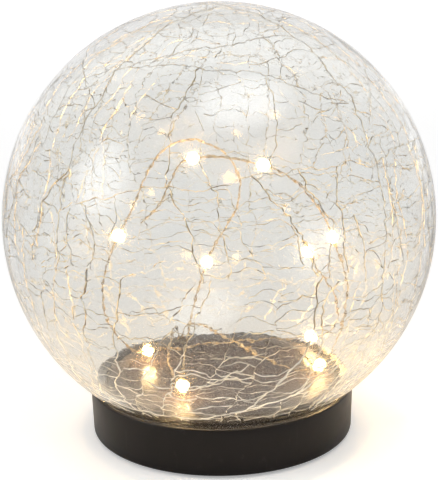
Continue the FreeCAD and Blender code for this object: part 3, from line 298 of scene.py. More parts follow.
strings = {
    "left": [
        (-16.46, 24.6, 8.4), (-16.46, 24.6, 11.1), (-16.46, 33.39, 11.3), (-16.46, 33.39, 25.6),
        (-18, 26, 27), (-20, 13, 23.5), (-18.5, -1, 21.4), (-15.6, -12.5, 20.8),
        (-13.8, -21.6, 20.6), (-13.2, -23.6, 27.6), (-12.6, -19.5, 36), (-9.8, -11, 48),
        (-6.2, -5, 58.5), (-2.8, -1, 66.5), (4.3, 3.5, 76.5), (8.6, 6, 86), (5.5, 6, 97),
        (-4, 4.5, 104.5), (-16, 2.2, 105), (-24, 0, 96), (-28.8, -3, 85.5), (-32.5, -5, 77.8),
        (-37.5, -7, 69), (-41.3, -7.5, 57), (-41, -4, 43), (-36.5, 1, 32), (-30.5, 6.5, 25.3),
        (-23.7, 15.5, 23.3), (-15, 21.5, 20.8), (-2, 27.5, 20.6), (12, 29.5, 21),
        (28.5, 25.5, 23), (39.3, 19.9, 25.6), (44.5, 15, 34.5), (40.5, 7.5, 48.5),
        (32.4, -0.5, 60.8), (29.4, -3.5, 69.6),
    ],
    "right": [
        (-14.96, 24.6, 8.4), (-14.96, 24.6, 11.1), (-14.96, 33.39, 11.3), (-14.96, 33.39, 25.6),
        (-9, 27.5, 29), (3, 19, 26), (15, 8.5, 21.8), (25.5, -1, 20.6), (31.5, -6, 21.5),
        (38.3, -6.5, 26.9), (43.5, -2, 36), (45.8, 4, 48), (44.4, 7, 57), (42, 6.5, 63.5),
        (38.6, 5.5, 72.9), (34, 3, 82), (27.6, 0, 90), (19.6, -2.2, 95.6), (11.2, -3.8, 98.4),
        (3.5, -5.2, 100.2), (-4, -6.5, 101.3), (-13, -7.5, 100.3), (-17, -9, 91.5),
        (-21, -11, 84), (-27, -12, 79.5),
    ],
    "lights": {"left": (8, 12, 21, 26, 31, 35), "right": (8, 13, 17, 20)},
    "length": {"left": 0.4153, "right": 0.2344},
    "pairWidth": 0.9,
    "wire": 0.2,  # radius of one wire
    "twist": 6.5,  # length of one turn of the pair
    "uneven": ((0.75, 0.13, 0), (0.4, 0.041, 1)),  # how far, how fast and from where it strays
    "step": 0.7,
    "sides": 8,
}


def routeCurve(name, points):
    data = bpy.data.curves.new(name, "CURVE")
    data.dimensions = "3D"
    data.resolution_u = 12
    spline = data.splines.new("NURBS")
    spline.points.add(len(points) - 1)
    for spot, point in zip(spline.points, points):
        spot.co = (point[0] * mm, point[1] * mm, point[2] * mm, 1)
    spline.order_u = 3
    spline.use_endpoint_u = True
    return bpy.data.objects.new(name, data)


def routeLine(name, points):
    curve = routeCurve(name, points)
    scene.collection.objects.link(curve)
    bpy.context.view_layer.update()
    shown = curve.evaluated_get(bpy.context.evaluated_depsgraph_get())
    mesh = bpy.data.meshes.new_from_object(shown)
    line = [vertex.co.copy() for vertex in mesh.vertices]
    bpy.data.objects.remove(curve)
    return line


def evened(line, step):
    # the same line with its points a step apart
    marks = [0.0]
    for before, after in zip(line, line[1:]):
        marks.append(marks[-1] + (after - before).length)
    count = max(2, round(marks[-1] / step))
    spots, at = [], 0
    for index in range(count + 1):
        want = marks[-1] * index / count
        while at < len(line) - 2 and marks[at + 1] < want:
            at += 1
        share = (want - marks[at]) / max(marks[at + 1] - marks[at], 1e-9)
        spots.append(line[at].lerp(line[at + 1], share))
    return spots


def carried(line):
    # a frame carried along the line without twist of its own
    ways = [(after - before).normalized() for before, after in zip(line, line[1:])]
    ways.append(ways[-1])
    side = ways[0].orthogonal().normalized()
    frames = []
    for way in ways:
        side = (side - way * side.dot(way)).normalized()
        frames.append((side, way.cross(side)))
    return frames


def twistedPair(name, line):
    spots = evened(line, strings["step"] * mm)
    frames = carried(spots)
    sides = strings["sides"]
    wire = strings["wire"] * mm
    apart = (strings["pairWidth"] * mm / 2) - wire
    points, faces = [], []
    for strand in (0, 1):
        start = len(points)
        for index, (spot, (side, lift)) in enumerate(zip(spots, frames)):
            turn = index * strings["step"] / strings["twist"] * 2 * math.pi + strand * math.pi
            # the pair is twisted by hand, never evenly
            turn += sum(far * math.sin(index * fast + begin) for far, fast, begin in strings["uneven"])
            middle = spot + (side * math.cos(turn) + lift * math.sin(turn)) * apart
            for corner in range(sides):
                angle = corner * 2 * math.pi / sides
                points.append(middle + (side * math.cos(angle) + lift * math.sin(angle)) * wire)
        for index in range(len(spots) - 1):
            ring = start + index * sides
            for corner in range(sides):
                nextCorner = (corner + 1) % sides
                faces.append((
                    ring + corner, ring + nextCorner,
                    ring + sides + nextCorner, ring + sides + corner,
                ))
        faces.append(tuple(start + corner for corner in reversed(range(sides))))
        last = start + (len(spots) - 1) * sides
        faces.append(tuple(last + corner for corner in range(sides)))
    return meshPiece(name, points, faces)


def makeCopper():
    material, build = newMaterial("enamelledCopper")
    base = group(build, mottle, {
        "Light": colour(0.68, 0.55, 0.35), "Dark": colour(0.28, 0.2, 0.11),
        "Scale": 700.0, "Gloss": 0.24, "Spread": 0.16,
    })
    bump = build.bump(build.cloud(build.place(), 5200.0, 2.0), 0.2, 0.00005)
    surface(build, {
        "Base Color": base["Colour"], "Roughness": base["Roughness"], "Normal": bump,
        "Metallic": 1.0, "Coat Weight": 0.6, "Coat Roughness": 0.12,
    })
    return material


copper = makeCopper()


def addString(side):
    line = routeLine(f"{side}Route", strings[side])
    pair = twistedPair(f"wire_pair_{side}", line)
    smooth(pair, 60)
    setMaterial(pair, copper)
    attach(pair, "base")
    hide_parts(f"light_string_{side}")
    start = [value * mm for value in strings[side][0]]
    [tuple(spot) for spot in line]


for side in ("left", "right"):
    addString(side)
print("light wires done")


# lights: a resin drop on each marked run, and its lamp

drops = {
    "radius": 1.7,
    "half": 2.6,
    "rings": 20,
    "sides": 24,
    "taper": 0.16,  # thinner at both ends
    "tip": 0.05,  # thicker toward one end
    "dents": 0.07,
    "dentScale": 900,
    "seed": 4,
    "glow": 14.0,
    "core": (1.0, 0.93, 0.74),
    "rim": (1.0, 0.62, 0.2),
    "lampPower": 0.036,
    "lampColour": (1.0, 0.66, 0.3),
    "lampSize": 0.0022,
}


def lightSpots():
    spots = []
    for side in ("left", "right"):
        route = [Vector(point) * mm for point in strings[side]]
        for index in strings["lights"][side]:
            start, finish = route[index], route[index + 1]
            spots.append(((start + finish) / 2, (finish - start).normalized()))
    return spots


def makeResin():
    material, build = newMaterial("litResin")
    heat = build.add("ShaderNodeAttribute", attribute_name="heat").outputs["Fac"]
    swirl = build.cloud(build.place(), 900.0, 3.0)
    warm = build.fit(build.scaled(swirl, 0.25, heat), 0.25, 0.75)
    glow = build.blend(warm, colour(*drops["rim"]), colour(*drops["core"]))
    base = build.blend(swirl, colour(0.95, 0.8, 0.5), colour(1.0, 0.93, 0.8))
    shadow = build.add("ShaderNodeLightPath").outputs["Is Shadow Ray"]
    clearedFor(build, shadow, {
        "Base Color": base, "Roughness": 0.12, "Normal": build.bump(swirl, 0.25, 0.0001),
        "IOR": 1.5, "Emission Color": glow, "Emission Strength": drops["glow"],
    }, colour(1, 1, 1))
    return material


def makeDrops(spots):
    # one drop is modelled, then copied and set along each wire
    bpy.ops.mesh.primitive_uv_sphere_add(
        segments=drops["sides"], ring_count=drops["rings"], radius=drops["radius"] * mm
    )
    first = bpy.context.object
    rng = random.Random(drops["seed"])
    stretch = drops["half"] / drops["radius"]
    shaped = []
    for vertex in first.data.vertices:
        across, back, up = vertex.co
        along = up / (drops["radius"] * mm)
        taper = 1.0 - drops["taper"] * abs(along) ** 1.5 + drops["tip"] * along
        shaped.append(Vector((across * taper, back * taper, up * stretch)))
    copies = []
    for spot, way in spots:
        copy = first.copy()
        copy.data = first.data.copy()
        scene.collection.objects.link(copy)
        turn = way.to_track_quat("Z", "Y").to_matrix()
        spin = Matrix.Rotation(rng.uniform(0, 6.28), 3, "Z")
        shift = rng.uniform(0, 50)
        heat = copy.data.attributes.new("heat", "FLOAT", "POINT")
        for vertex, place in zip(copy.data.vertices, shaped):
            lump = noise.noise(place * drops["dentScale"] + Vector((shift, 0, 0)))
            swell = 1 - drops["dents"] * (0.5 + 0.5 * lump)
            vertex.co = spot + turn @ spin @ (place * swell)
            heat.data[vertex.index].value = 1 - abs(place.z) / (drops["half"] * mm)
        copies.append(copy)
    activate(first)
    bpy.ops.object.delete()
    deselect()
    for copy in copies:
        copy.select_set(True)
    bpy.context.view_layer.objects.active = copies[0]
    bpy.ops.object.join()
    whole = bpy.context.object
    whole.name = "resin_drops"
    bpy.ops.object.shade_smooth()
    setMaterial(whole, makeResin())
    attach(whole, "base")
    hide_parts("led_beads")


def addLamps(spots):
    for spot, _ in spots:
        bpy.ops.object.light_add(type="POINT", location=spot)
        lamp = bpy.context.object.data
        lamp.energy = drops["lampPower"]
        lamp.color = drops["lampColour"]
        lamp.shadow_soft_size = drops["lampSize"]


spots = lightSpots()
makeDrops(spots)
addLamps(spots)
print("resin drops and lamps done")


# glass: ball and neck in one wall, spun from its outline

glass = {
    "radius": 75.0,
    "wall": 3.0,
    "middle": 77.5784,
    "neckRadius": 44.5,
    "neckBend": 2.0,
    "neckLength": 8.0,
    "edge": 0.8,
    "turns": 192,
    "tint": (0.878, 0.882, 0.87),
    "ior": 1.45,
    "lenses": 0.26,  # how much each small cell of the cracked wall bends what is behind it
    "shadowTint": (0.97, 0.97, 0.96),
}


def arc(centre, radius, begin, end, steps):
    spots = []
    for index in range(steps + 1):
        angle = math.radians(begin + (end - begin) * index / steps)
        spots.append((centre[0] + radius * math.cos(angle), centre[1] + radius * math.sin(angle)))
    return spots


def glassOutline():
    big, wall, bend = glass["radius"], glass["wall"], glass["neckBend"]
    middle, neck, edge = glass["middle"], glass["neckRadius"], glass["edge"]
    out = neck + bend
    drop = math.sqrt((big + bend) ** 2 - out**2)
    touch = -math.degrees(math.asin(drop / (big + bend)))
    bendCentre = (out, middle - drop)
    end = middle - drop - glass["neckLength"]
    inside = neck - wall
    outline = arc((0, middle), big, 90, touch, 110)
    outline += arc(bendCentre, bend, 180 + touch, 180, 10)[1:]
    outline += arc((neck - edge, end + edge), edge, 0, -90, 5)
    outline += arc((inside + edge, end + edge), edge, -90, -180, 5)
    outline += arc(bendCentre, bend + wall, 180, 180 + touch, 14)
    outline += arc((0, middle), big - wall, touch, 90, 106)[1:]
    return outline


def makeGlobe():
    outline = glassOutline()
    points = [(across * mm, 0, up * mm) for across, up in outline]
    edges = [(index, index + 1) for index in range(len(points) - 1)]
    mesh = bpy.data.meshes.new("globe_glass")
    mesh.from_pydata(points, edges, [])
    piece = bpy.data.objects.new("globe_glass", mesh)
    scene.collection.objects.link(piece)
    activate(piece)
    bpy.ops.object.mode_set(mode="EDIT")
    bpy.ops.mesh.select_all(action="SELECT")
    bpy.ops.mesh.spin(
        steps=glass["turns"], angle=2 * math.pi, center=(0, 0, 0), axis=(0, 0, 1)
    )
    bpy.ops.mesh.select_all(action="SELECT")
    bpy.ops.mesh.remove_doubles(threshold=weldReach)
    bpy.ops.mesh.normals_make_consistent(inside=False)
    bpy.ops.object.mode_set(mode="OBJECT")
    bpy.ops.object.shade_smooth()
    return piece


def makeGlassMaterial():
    material, build = newMaterial("crackleGlass")
    place = build.place()
    ripple, lenses = build.cloud(place, 45.0, 3.0), build.cloud(place, 190.0, 2.0)
    uneven = build.scaled(lenses, glass["lenses"], ripple)
    haze = build.fit(build.cloud(place, 4200.0, 1.0), 0.58, 0.72, 0.0, 0.3)
    path = build.add("ShaderNodeLightPath").outputs
    through = build.math("MAXIMUM", path["Is Shadow Ray"], path["Is Diffuse Ray"])
    clearedFor(build, through, {
        "Base Color": colour(*glass["tint"]), "Roughness": haze, "IOR": glass["ior"],
        "Transmission Weight": 1.0, "Normal": build.bump(uneven, 0.16, 0.0012),
    }, colour(*glass["shadowTint"]))
    return material


globe = makeGlobe()
setMaterial(globe, makeGlassMaterial())
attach(globe, "base")
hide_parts("glass_globe")
print("glass done")


# cracks: long upright ones first, then arcs that bridge them, as the quenched glass splits

cracks = {
    "seed": 23,
    "pole": (0.05, -0.04, 1),
    "upright": (21.0, 17.0),  # between upright cracks, low down and at the top
    "uprightVaries": (0.75, 1.3),
    "rung": (4.5, 7.0),  # between the arcs that bridge them
    "rungVaries": (0.8, 1.4),
    "poleHigh": 24.0,  # a cell at a pole is cut across while it is higher than this
    "patches": (0.5, 2.3),  # how much the spacing varies over the globe, and how fast
    "askew": 8,  # degrees, spread of the cuts' angles
    "offset": 0.15,  # of the cuts from the middle of their cell
    "bow": 0.2,  # at most, as a share of a crack's length
    "bowSpan": 0.25,  # the length, in radii, from which a crack bows no further
    "kinks": (  # from slow drift to fine shake: how fast, how far and from where
        (4.1, 0.035, (0, 0, 0)), (13.0, 0.022, (7, 3, 1)), (34.0, 0.012, (2, 9, 5)),
    ),
    "inner": 72.25,
    "outer": 74.7,
    "lowest": -0.72,  # share of the radius, from the middle down, where the cracks end
    "step": 0.9,
    "shortest": 1.5,
    "lost": (18, 0.04),  # below this length, this share is left out
    "late": (0.08, 0.25),  # this share begins late, by up to this much
    "full": 30.0,  # length of a crack at its boldest
    "width": (0.2, 0.17),  # of the faintest, and what boldness adds
    "lowWidth": 0.95,  # near the neck, where they stand out
    "reach": (0.12, 0.25, 0.2),  # least and most share of the wall, and what boldness adds
    "strength": (0.82, 0.3, 0.6),  # faintest, what boldness adds, and the swing along a crack
    "paintedShading": (0.6, 0.25, 1.8, 1.3),  # painted light and shade on the crack faces: middle, spread, swing along a crack, between its edges
    "rates": {"width": 0.4, "depth": 0.3, "strength": 0.2, "paintedShading": 0.42, "bend": 0.3},
    # painted shade and highlight: crack faces run from dark to gold along and across each crack
    "dark": (0.13, 0.09, 0.045),
    "paintedHighlightGold": (1.0, 0.86, 0.56),
    "paintedLitCream": (0.95, 0.92, 0.85),  # painted light: cracks low down, over the dark floor, are coloured lighter
    "paintedGlintColour": (1.0, 0.84, 0.56),  # painted glow: emission standing in for the lamps' light caught in a crack
    "paintedGlintPower": 0.3,
    "paintedGlintTop": (0.135, 0.085),  # heights where the painted glow has faded and where it is full
    "paintedLitHeights": (0.062, 0.046),  # heights between which cracks are painted lighter
}


def octants(top, newLine):
    # eight cells round the globe; a cell is its corners, each with the line that leaves it
    side = top.orthogonal().normalized()
    axes = (side, top.cross(side), top)
    lineOf = {}
    for first in range(3):
        for second in range(first + 1, 3):
            for one in (1, -1):
                for two in (1, -1):
                    a, b = (first, one), (second, two)
                    lineOf[a, b] = lineOf[b, a] = newLine(axes[first] * one, axes[second] * two)
    cells = []
    for one in (1, -1):
        for two in (1, -1):
            for three in (1, -1):
                keys = [(0, one), (1, two), (2, three)]
                cells.append([
                    (axes[key[0]] * key[1], lineOf[key, keys[(index + 1) % 3]])
                    for index, key in enumerate(keys)
                ])
    return cells


def spacing(key, share):
    low, high = cracks[key]
    return low + (high - low) * share


def spanAlong(cell, way):
    levels = [corner.dot(way) for corner, _ in cell]
    return (max(levels) - min(levels)) * glass["radius"]


def chosenCut(cell, top, middle, rng):
    # the way that a cell is cut, the way beside it and the cell's span, or nothing when small
    north = (top - middle * top.dot(middle)).normalized()
    east = north.cross(middle)
    wide, high = spanAlong(cell, east), spanAlong(cell, north)
    atPole = max(abs(corner.dot(top)) for corner, _ in cell) > 0.999
    much, fast = cracks["patches"]
    patch = 1 + much * noise.noise(middle * fast)
    # from 0 low down to 1 at the top
    rise = min(max((middle.z + 0.4) / 1.1, 0.0), 1.0)
    upright = spacing("upright", rise) * rng.uniform(*cracks["uprightVaries"]) * patch
    rung = spacing("rung", rise) * rng.uniform(*cracks["rungVaries"]) * patch
    if atPole and high > cracks["poleHigh"]:
        return north, east, high
    if wide > upright:
        return east, north, wide
    if high > rung:
        return north, east, high
    return None


def cutCell(cell, normal, lines, newLine):
    # both halves of a cell, with a new line between them, or nothing where the cut misses
    levels = [corner.dot(normal) for corner, _ in cell]
    crossings = [
        index for index in range(len(cell))
        if levels[index] * levels[(index + 1) % len(cell)] < 0
    ]
    if len(crossings) != 2:
        return []
    ends = []
    for index in crossings:
        corner, edgeIndex = cell[index]
        following = (index + 1) % len(cell)
        share = levels[index] / (levels[index] - levels[following])
        point = corner.lerp(cell[following][0], share).normalized()
        edge = lines[edgeIndex]
        whole = (edge["end"] - edge["start"]).length
        ends.append((point, (edgeIndex, (point - edge["start"]).length / whole)))
    (begin, beginOn), (finish, finishOn) = ends
    new = newLine(begin, finish, beginOn, finishOn)
    first, second = crossings
    half = [(begin, cell[first][1])] + cell[first + 1:second + 1] + [(finish, new)]
    rest = [(finish, cell[second][1])] + cell[second + 1:] + cell[:first + 1] + [(begin, new)]
    return [half, rest]


def crackLines():
    rng = random.Random(cracks["seed"])
    top = Vector(cracks["pole"]).normalized()
    lines = []  # each with the line and share that its ends lie on

    def newLine(start, end, startOn=None, endOn=None):
        lines.append({
            "start": start, "end": end, "startOn": startOn, "endOn": endOn,
            "bow": rng.uniform(0.25, 1) * rng.choice((-1, 1)) * cracks["bow"],
        })
        return len(lines) - 1

    cells = octants(top, newLine)
    while cells:
        cell = cells.pop()
        middle = Vector((0, 0, 0))
        for corner, _ in cell:
            middle += corner
        middle.normalize()
        cut = chosenCut(cell, top, middle, rng)
        if not cut:
            continue
        split, beside, span = cut
        lean = math.radians(rng.gauss(0, cracks["askew"]))
        normal = split * math.cos(lean) + beside * math.sin(lean)
        shift = rng.uniform(-cracks["offset"], cracks["offset"]) * span / glass["radius"]
        through = (middle + normal * shift).normalized()
        normal = (normal - through * normal.dot(through)).normalized()
        cells += cutCell(cell, normal, lines, newLine)
    print("crack lines", len(lines))
    return lines


def crackPoint(lines, index, share, memory):
    key = (index, round(share, 5))
    if key in memory:
        return memory[key]
    line = lines[index]
    start, end = line["start"], line["end"]
    if line["startOn"]:
        start = crackPoint(lines, *line["startOn"], memory)
    if line["endOn"]:
        end = crackPoint(lines, *line["endOn"], memory)
    share = min(max(share, 0.0), 1.0)
    span = end - start
    across = start.cross(end).normalized()
    bowed = math.sin(share * math.pi) * line["bow"] * min(span.length, cracks["bowSpan"])
    point = (start.lerp(end, share) + across * bowed).normalized()
    memory[key] = point
    return point


def noiseAt(x, y, z):
    return noise.noise(Vector((x, y, z)))


def drift(point):
    # noise_vector has a new seed each run, so three fixed places of plain noise stand in for it
    offsets = ((9.3, 1.5, 7.9), (13.3, 20.1, 4.6), (3.7, 11.8, 16.2))
    return Vector([noise.noise(point + Vector(offset)) for offset in offsets])


def wander(point):
    moved = point
    for fast, far, begin in cracks["kinks"]:
        moved = moved + drift(point * fast + Vector(begin)) * far
    return moved.normalized()


def crackShape(start, end, length, rng):
    # what a crack keeps from end to end
    course = (end - start).normalized()
    # upright cracks are bolder, and so are those low down
    bold = min(1.0, length / cracks["full"]) * (0.55 + 0.45 * abs(course.z))
    bold *= 1 - 0.75 * min(max((start.z + end.z) / 2 - 0.1, 0.0), 0.8)
    width, boldWidth = cracks["width"]
    least, most, boldReach = cracks["reach"]
    spread = cracks["paintedShading"][1]
    share, late = cracks["late"]
    shape = {
        "bold": bold,
        "lean": rng.choice((-1, 1)) * (width + boldWidth * bold * rng.uniform(0.4, 1.3)),
        "reach": rng.uniform(least, most) + boldReach * bold,
        "paintedShading": rng.uniform(-spread, spread),
        "shift": rng.uniform(0, 100),
        "begin": rng.uniform(0.0, late) if rng.random() < share else 0.0,
    }
    if start.z < -0.3:
        shape["lean"] *= cracks["lowWidth"]
    shape["reach"] *= cracks["outer"] - cracks["inner"]
    return shape


def crackRows(lines, index, length, shape, memory):
    # rows of three places across a ribbon, each with its strength and its level of painted light and
    # shade
    count = max(2, round(length / cracks["step"]))
    middle = Vector((0, 0, glass["middle"]))
    begin, lean, shift = shape["begin"], shape["lean"], shape["shift"]
    faint, boldStrength, strengthSwing = cracks["strength"]
    paintedShading, _, paintedShadingSwing, paintedShadingAcross = cracks["paintedShading"]
    rates = cracks["rates"]
    rows = []
    for step in range(count + 1):
        share = begin + (1 - begin) * step / count
        spot = wander(crackPoint(lines, index, share, memory))
        ahead = wander(crackPoint(lines, index, min(share + 0.5 / count, 1.0), memory))
        behind = wander(crackPoint(lines, index, max(share - 0.5 / count, 0.0), memory))
        across = spot.cross((ahead - behind).normalized())
        wide = lean * (0.72 + 0.9 * noiseAt(shift, step * rates["width"], 0))
        deep = shape["reach"] * (1 + 0.7 * noiseAt(0, shift, step * rates["depth"]))
        bend = 0.25 * lean * noiseAt(step * rates["bend"], shift, 4)
        strength = faint + boldStrength * shape["bold"]
        strength += strengthSwing * noiseAt(step * rates["strength"], 0, shift)
        pale = paintedShading + shape["paintedShading"] + paintedShadingSwing * noiseAt(shift, 3, step * rates["paintedShading"])
        row = []
        for level in (0.0, 0.5, 1.0):
            radius = cracks["inner"] + deep * level
            off = wide * (level - 0.5) + bend * math.sin(level * math.pi)
            place = (middle + spot * radius + across * off) * mm
            # one edge painted darker and the other lighter, as shade beside a highlight
            paintedShadingLevel = pale + paintedShadingAcross * (level - 0.5)
            row.append((place, min(max(strength, 0.0), 1.0), min(max(paintedShadingLevel, 0.0), 1.0)))
        rows.append(row)
    return rows


def makeCracks():
    rng = random.Random(cracks["seed"] + 1)
    lines = crackLines()
    memory, places, faces = {}, [], []
    lowest = (glass["middle"] + cracks["lowest"] * glass["radius"]) * mm
    short, lost = cracks["lost"]
    for index in range(len(lines)):
        start = crackPoint(lines, index, 0.0, memory)
        end = crackPoint(lines, index, 1.0, memory)
        length = (end - start).length * glass["radius"]
        if length < cracks["shortest"] or (length < short and rng.random() < lost):
            continue
        shape = crackShape(start, end, length, rng)
        rows = crackRows(lines, index, length, shape, memory)
        first = len(places)
        for row in rows:
            places += row
        for step in range(len(rows) - 1):
            corner = first + step * 3
            if places[corner][0].z < lowest:
                continue
            faces.append((corner, corner + 3, corner + 4, corner + 1))
            faces.append((corner + 1, corner + 4, corner + 5, corner + 2))
    piece = meshPiece("globe_cracks", [place for place, _, _ in places], faces)
    # pale holds the level of painted shade and highlight
    for column, name in ((1, "strength"), (2, "pale")):
        layer = piece.data.attributes.new(name, "FLOAT", "POINT")
        layer.data.foreach_set("value", [place[column] for place in places])
    activate(piece)
    bpy.ops.object.mode_set(mode="EDIT")
    bpy.ops.mesh.select_all(action="SELECT")
    bpy.ops.mesh.delete_loose()
    bpy.ops.object.mode_set(mode="OBJECT")
    bpy.ops.object.shade_smooth()
    print("crack faces", len(piece.data.polygons))
    return piece


def makeCrackMaterial():
    material, build = newMaterial("crackFaces")
    strength = build.add("ShaderNodeAttribute", attribute_name="strength").outputs["Fac"]
    pale = build.add("ShaderNodeAttribute", attribute_name="pale").outputs["Fac"]
    place = build.place()
    height = build.axis(place, "Z")
    # painted light: low down the cracks are coloured cream and kept opaque
    low = build.fit(height, *cracks["paintedLitHeights"])
    # painted shade and highlight: dark to gold by the painted level
    tint = build.blend(pale, colour(*cracks["dark"]), colour(*cracks["paintedHighlightGold"]))
    tint = build.blend(low, tint, colour(*cracks["paintedLitCream"]))
    facing = build.add("ShaderNodeLayerWeight", {"Blend": 0.5}).outputs["Facing"]
    # a crack seen face on is nearly clear
    seen = build.fit(facing, 0.05, 0.62, 0.22, 1.0)
    flecks = build.cloud(place, 520.0, 3.0)
    worn = build.math("MULTIPLY", strength, build.fit(flecks, 0.3, 0.5, 0.65, 1.0))
    # painted glow: the paler parts of cracks low down give off light, though they are no lamp
    paintedGlintShare = build.fit(pale, 0.6, 1.0, 0.0, cracks["paintedGlintPower"])
    # a thin gap in glass throws light back as a mirror does
    surface(build, {
        "Base Color": tint, "Roughness": 0.3, "Normal": build.bump(flecks, 0.5, 0.0004),
        "Alpha": build.math("MULTIPLY", build.math("MAXIMUM", seen, low), worn, clamp=True),
        "IOR": 1.45, "Metallic": build.fit(height, 0.046, 0.066, 0.1, 0.75),
        "Emission Color": colour(*cracks["paintedGlintColour"]),
        "Emission Strength": build.math(
            "MULTIPLY", paintedGlintShare, build.fit(height, *cracks["paintedGlintTop"], 0.1, 1.0)
        ),
    })
    return material


crackPiece = makeCracks()
setMaterial(crackPiece, makeCrackMaterial())
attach(crackPiece, "base")
print("cracks done")


# finishes of the other pieces

darkBrown = moulded("satinDarkBrown", {
    "light": colour(0.011, 0.008, 0.007), "dark": colour(0.007, 0.005, 0.004),
    "rough": 0.30, "spread": 0.10, "worn": colour(0.03, 0.025, 0.022), "dust": 0.03,
    "shine": 0.24,
})
coverBrown = moulded("coverDarkBrown", {
    "light": colour(0.05, 0.04, 0.034), "dark": colour(0.034, 0.027, 0.023),
    "rough": 0.34, "dust": 0.15,
})
blackRubber = moulded("blackRubber", {
    "light": colour(0.05, 0.05, 0.05), "dark": colour(0.03, 0.03, 0.03), "rough": 0.7,
    "grain": 1400.0, "bump": 0.3,
})
foamBlack = moulded("foamBlack", {
    "light": colour(0.08, 0.08, 0.08), "dark": colour(0.04, 0.04, 0.04), "rough": 0.9,
    "grain": 900.0, "bump": 0.9,
})
nylonBlack = moulded("nylonBlack", {
    "light": colour(0.07, 0.07, 0.075), "dark": colour(0.045, 0.045, 0.05), "rough": 0.5,
})
nylonWhite = moulded("nylonWhite", {
    "light": colour(0.78, 0.78, 0.75), "dark": colour(0.68, 0.68, 0.65), "rough": 0.42,
})
epoxyBlack = moulded("epoxyBlack", {
    "light": colour(0.04, 0.04, 0.045), "dark": colour(0.025, 0.025, 0.03), "rough": 0.6,
    "grain": 6000.0,
})
redLead = moulded("redLead", {
    "light": colour(0.55, 0.06, 0.04), "dark": colour(0.4, 0.04, 0.03), "rough": 0.38,
})
silicone = moulded("clearSilicone", {
    "light": colour(0.62, 0.62, 0.6), "dark": colour(0.5, 0.5, 0.48), "rough": 0.35,
    "grain": 500.0, "bump": 0.4,
})
ferrite = moulded("ferrite", {
    "light": colour(0.14, 0.14, 0.15), "dark": colour(0.07, 0.07, 0.08), "rough": 0.45,
    "metal": 0.2, "grain": 4000.0,
})


def makeSteel():
    material, build = newMaterial("platedSteel")
    base = group(build, mottle, {
        "Light": colour(0.66, 0.66, 0.68), "Dark": colour(0.5, 0.5, 0.5), "Scale": 300.0,
        "Gloss": 0.24, "Spread": 0.2,
    })
    stretched = build.add(
        "ShaderNodeMapping", {"Vector": build.place(), "Scale": (60, 60, 2400)}
    ).outputs["Vector"]
    surface(build, {
        "Base Color": base["Colour"], "Roughness": base["Roughness"], "Metallic": 1.0,
        "Normal": build.bump(build.cloud(stretched, 1.0, 3.0), 0.15, 0.0001),
    })
    return material


panel = {
    "halfGap": 0.0055,  # half the way from one contact line to the next
    "line": (0.00022, 0.0001),  # from the middle of a contact line to its edge and its core
    "lineShade": 0.35,
}


def makePanel():
    # dark laminate over thin cells, faintly marked by their fine contact lines
    material, build = newMaterial("panelLaminate")
    base = group(build, mottle, {
        "Light": colour(0.046, 0.033, 0.028), "Dark": colour(0.026, 0.019, 0.017),
        "Scale": 38.0, "Gloss": 0.2, "Spread": 0.12,
    })
    place = build.place()
    line = build.fit(
        build.math("PINGPONG", build.axis(place, "X"), panel["halfGap"]), *panel["line"]
    )
    marked = build.blend(
        build.math("MULTIPLY", line, panel["lineShade"]), base["Colour"], colour(0.12, 0.09, 0.07)
    )
    settled = group(build, dust, {"Amount": 0.12, "Scale": 900.0})
    dusty = build.blend(settled["Mask"], marked, colour(0.4, 0.36, 0.32))
    waves = build.cloud(place, 70.0, 2.0)
    surface(build, {
        "Base Color": dusty, "Roughness": build.math("ADD", base["Roughness"], settled["Mask"]),
        "Normal": build.bump(waves, 0.12, 0.0006), "Specular IOR Level": 0.15,
        "Coat Weight": 0.1, "Coat Roughness": 0.05,
    })
    return material


def makeBoard():
    # solder mask with faint copper runs below it
    material, build = newMaterial("solderMask")
    base = group(build, mottle, {
        "Light": colour(0.05, 0.24, 0.1), "Dark": colour(0.03, 0.16, 0.07), "Scale": 200.0,
        "Gloss": 0.28, "Spread": 0.1,
    })
    tracks = build.add("ShaderNodeTexBrick", {
        "Vector": build.place(), "Scale": 160.0, "Mortar Size": 0.09, "Mortar Smooth": 0.1,
        "Bias": 0.0, "Brick Width": 1.4, "Row Height": 0.5,
    }).outputs["Fac"]
    shown = build.blend(
        build.math("MULTIPLY", tracks, 0.6), base["Colour"], colour(0.12, 0.4, 0.16)
    )
    surface(build, {
        "Base Color": shown, "Roughness": base["Roughness"],
        "Normal": build.bump(tracks, 0.3, 0.0001), "Coat Weight": 0.3,
    })
    return material


bandEdge = 0.0002


def banded(name, axis, bands, values):
    # a printed sleeve or drawn can with plain bands along one axis
    material, build = newMaterial(name)
    along = build.axis(build.place(), axis)
    base = group(build, mottle, {
        "Light": values["light"], "Dark": values["dark"], "Scale": 120.0,
        "Gloss": values["rough"], "Spread": 0.08,
    })
    tint = base["Colour"]
    for low, high, shade in bands:
        inside = build.math(
            "MULTIPLY", build.fit(along, low, low + bandEdge),
            build.fit(along, high + bandEdge, high),
        )
        tint = build.blend(inside, tint, shade)
    grain = group(build, mouldGrain, {"Scale": 1800.0, "Scuffs": 0.4})
    surface(build, {
        "Base Color": tint, "Roughness": base["Roughness"],
        "Normal": build.bump(grain["Height"], 0.1, 0.0001),
        "Metallic": values.get("metal", 0.0), "Coat Weight": 0.4,
    })
    return material


def makeChip():
    material, build = newMaterial("phosphorChip")
    specks = build.cloud(build.place(), 3000.0, 3.0)
    tint = build.blend(specks, colour(1.0, 0.78, 0.3), colour(1.0, 0.9, 0.5))
    surface(build, {
        "Base Color": tint, "Roughness": 0.4, "Emission Color": tint, "Emission Strength": 8.0,
    })
    return material


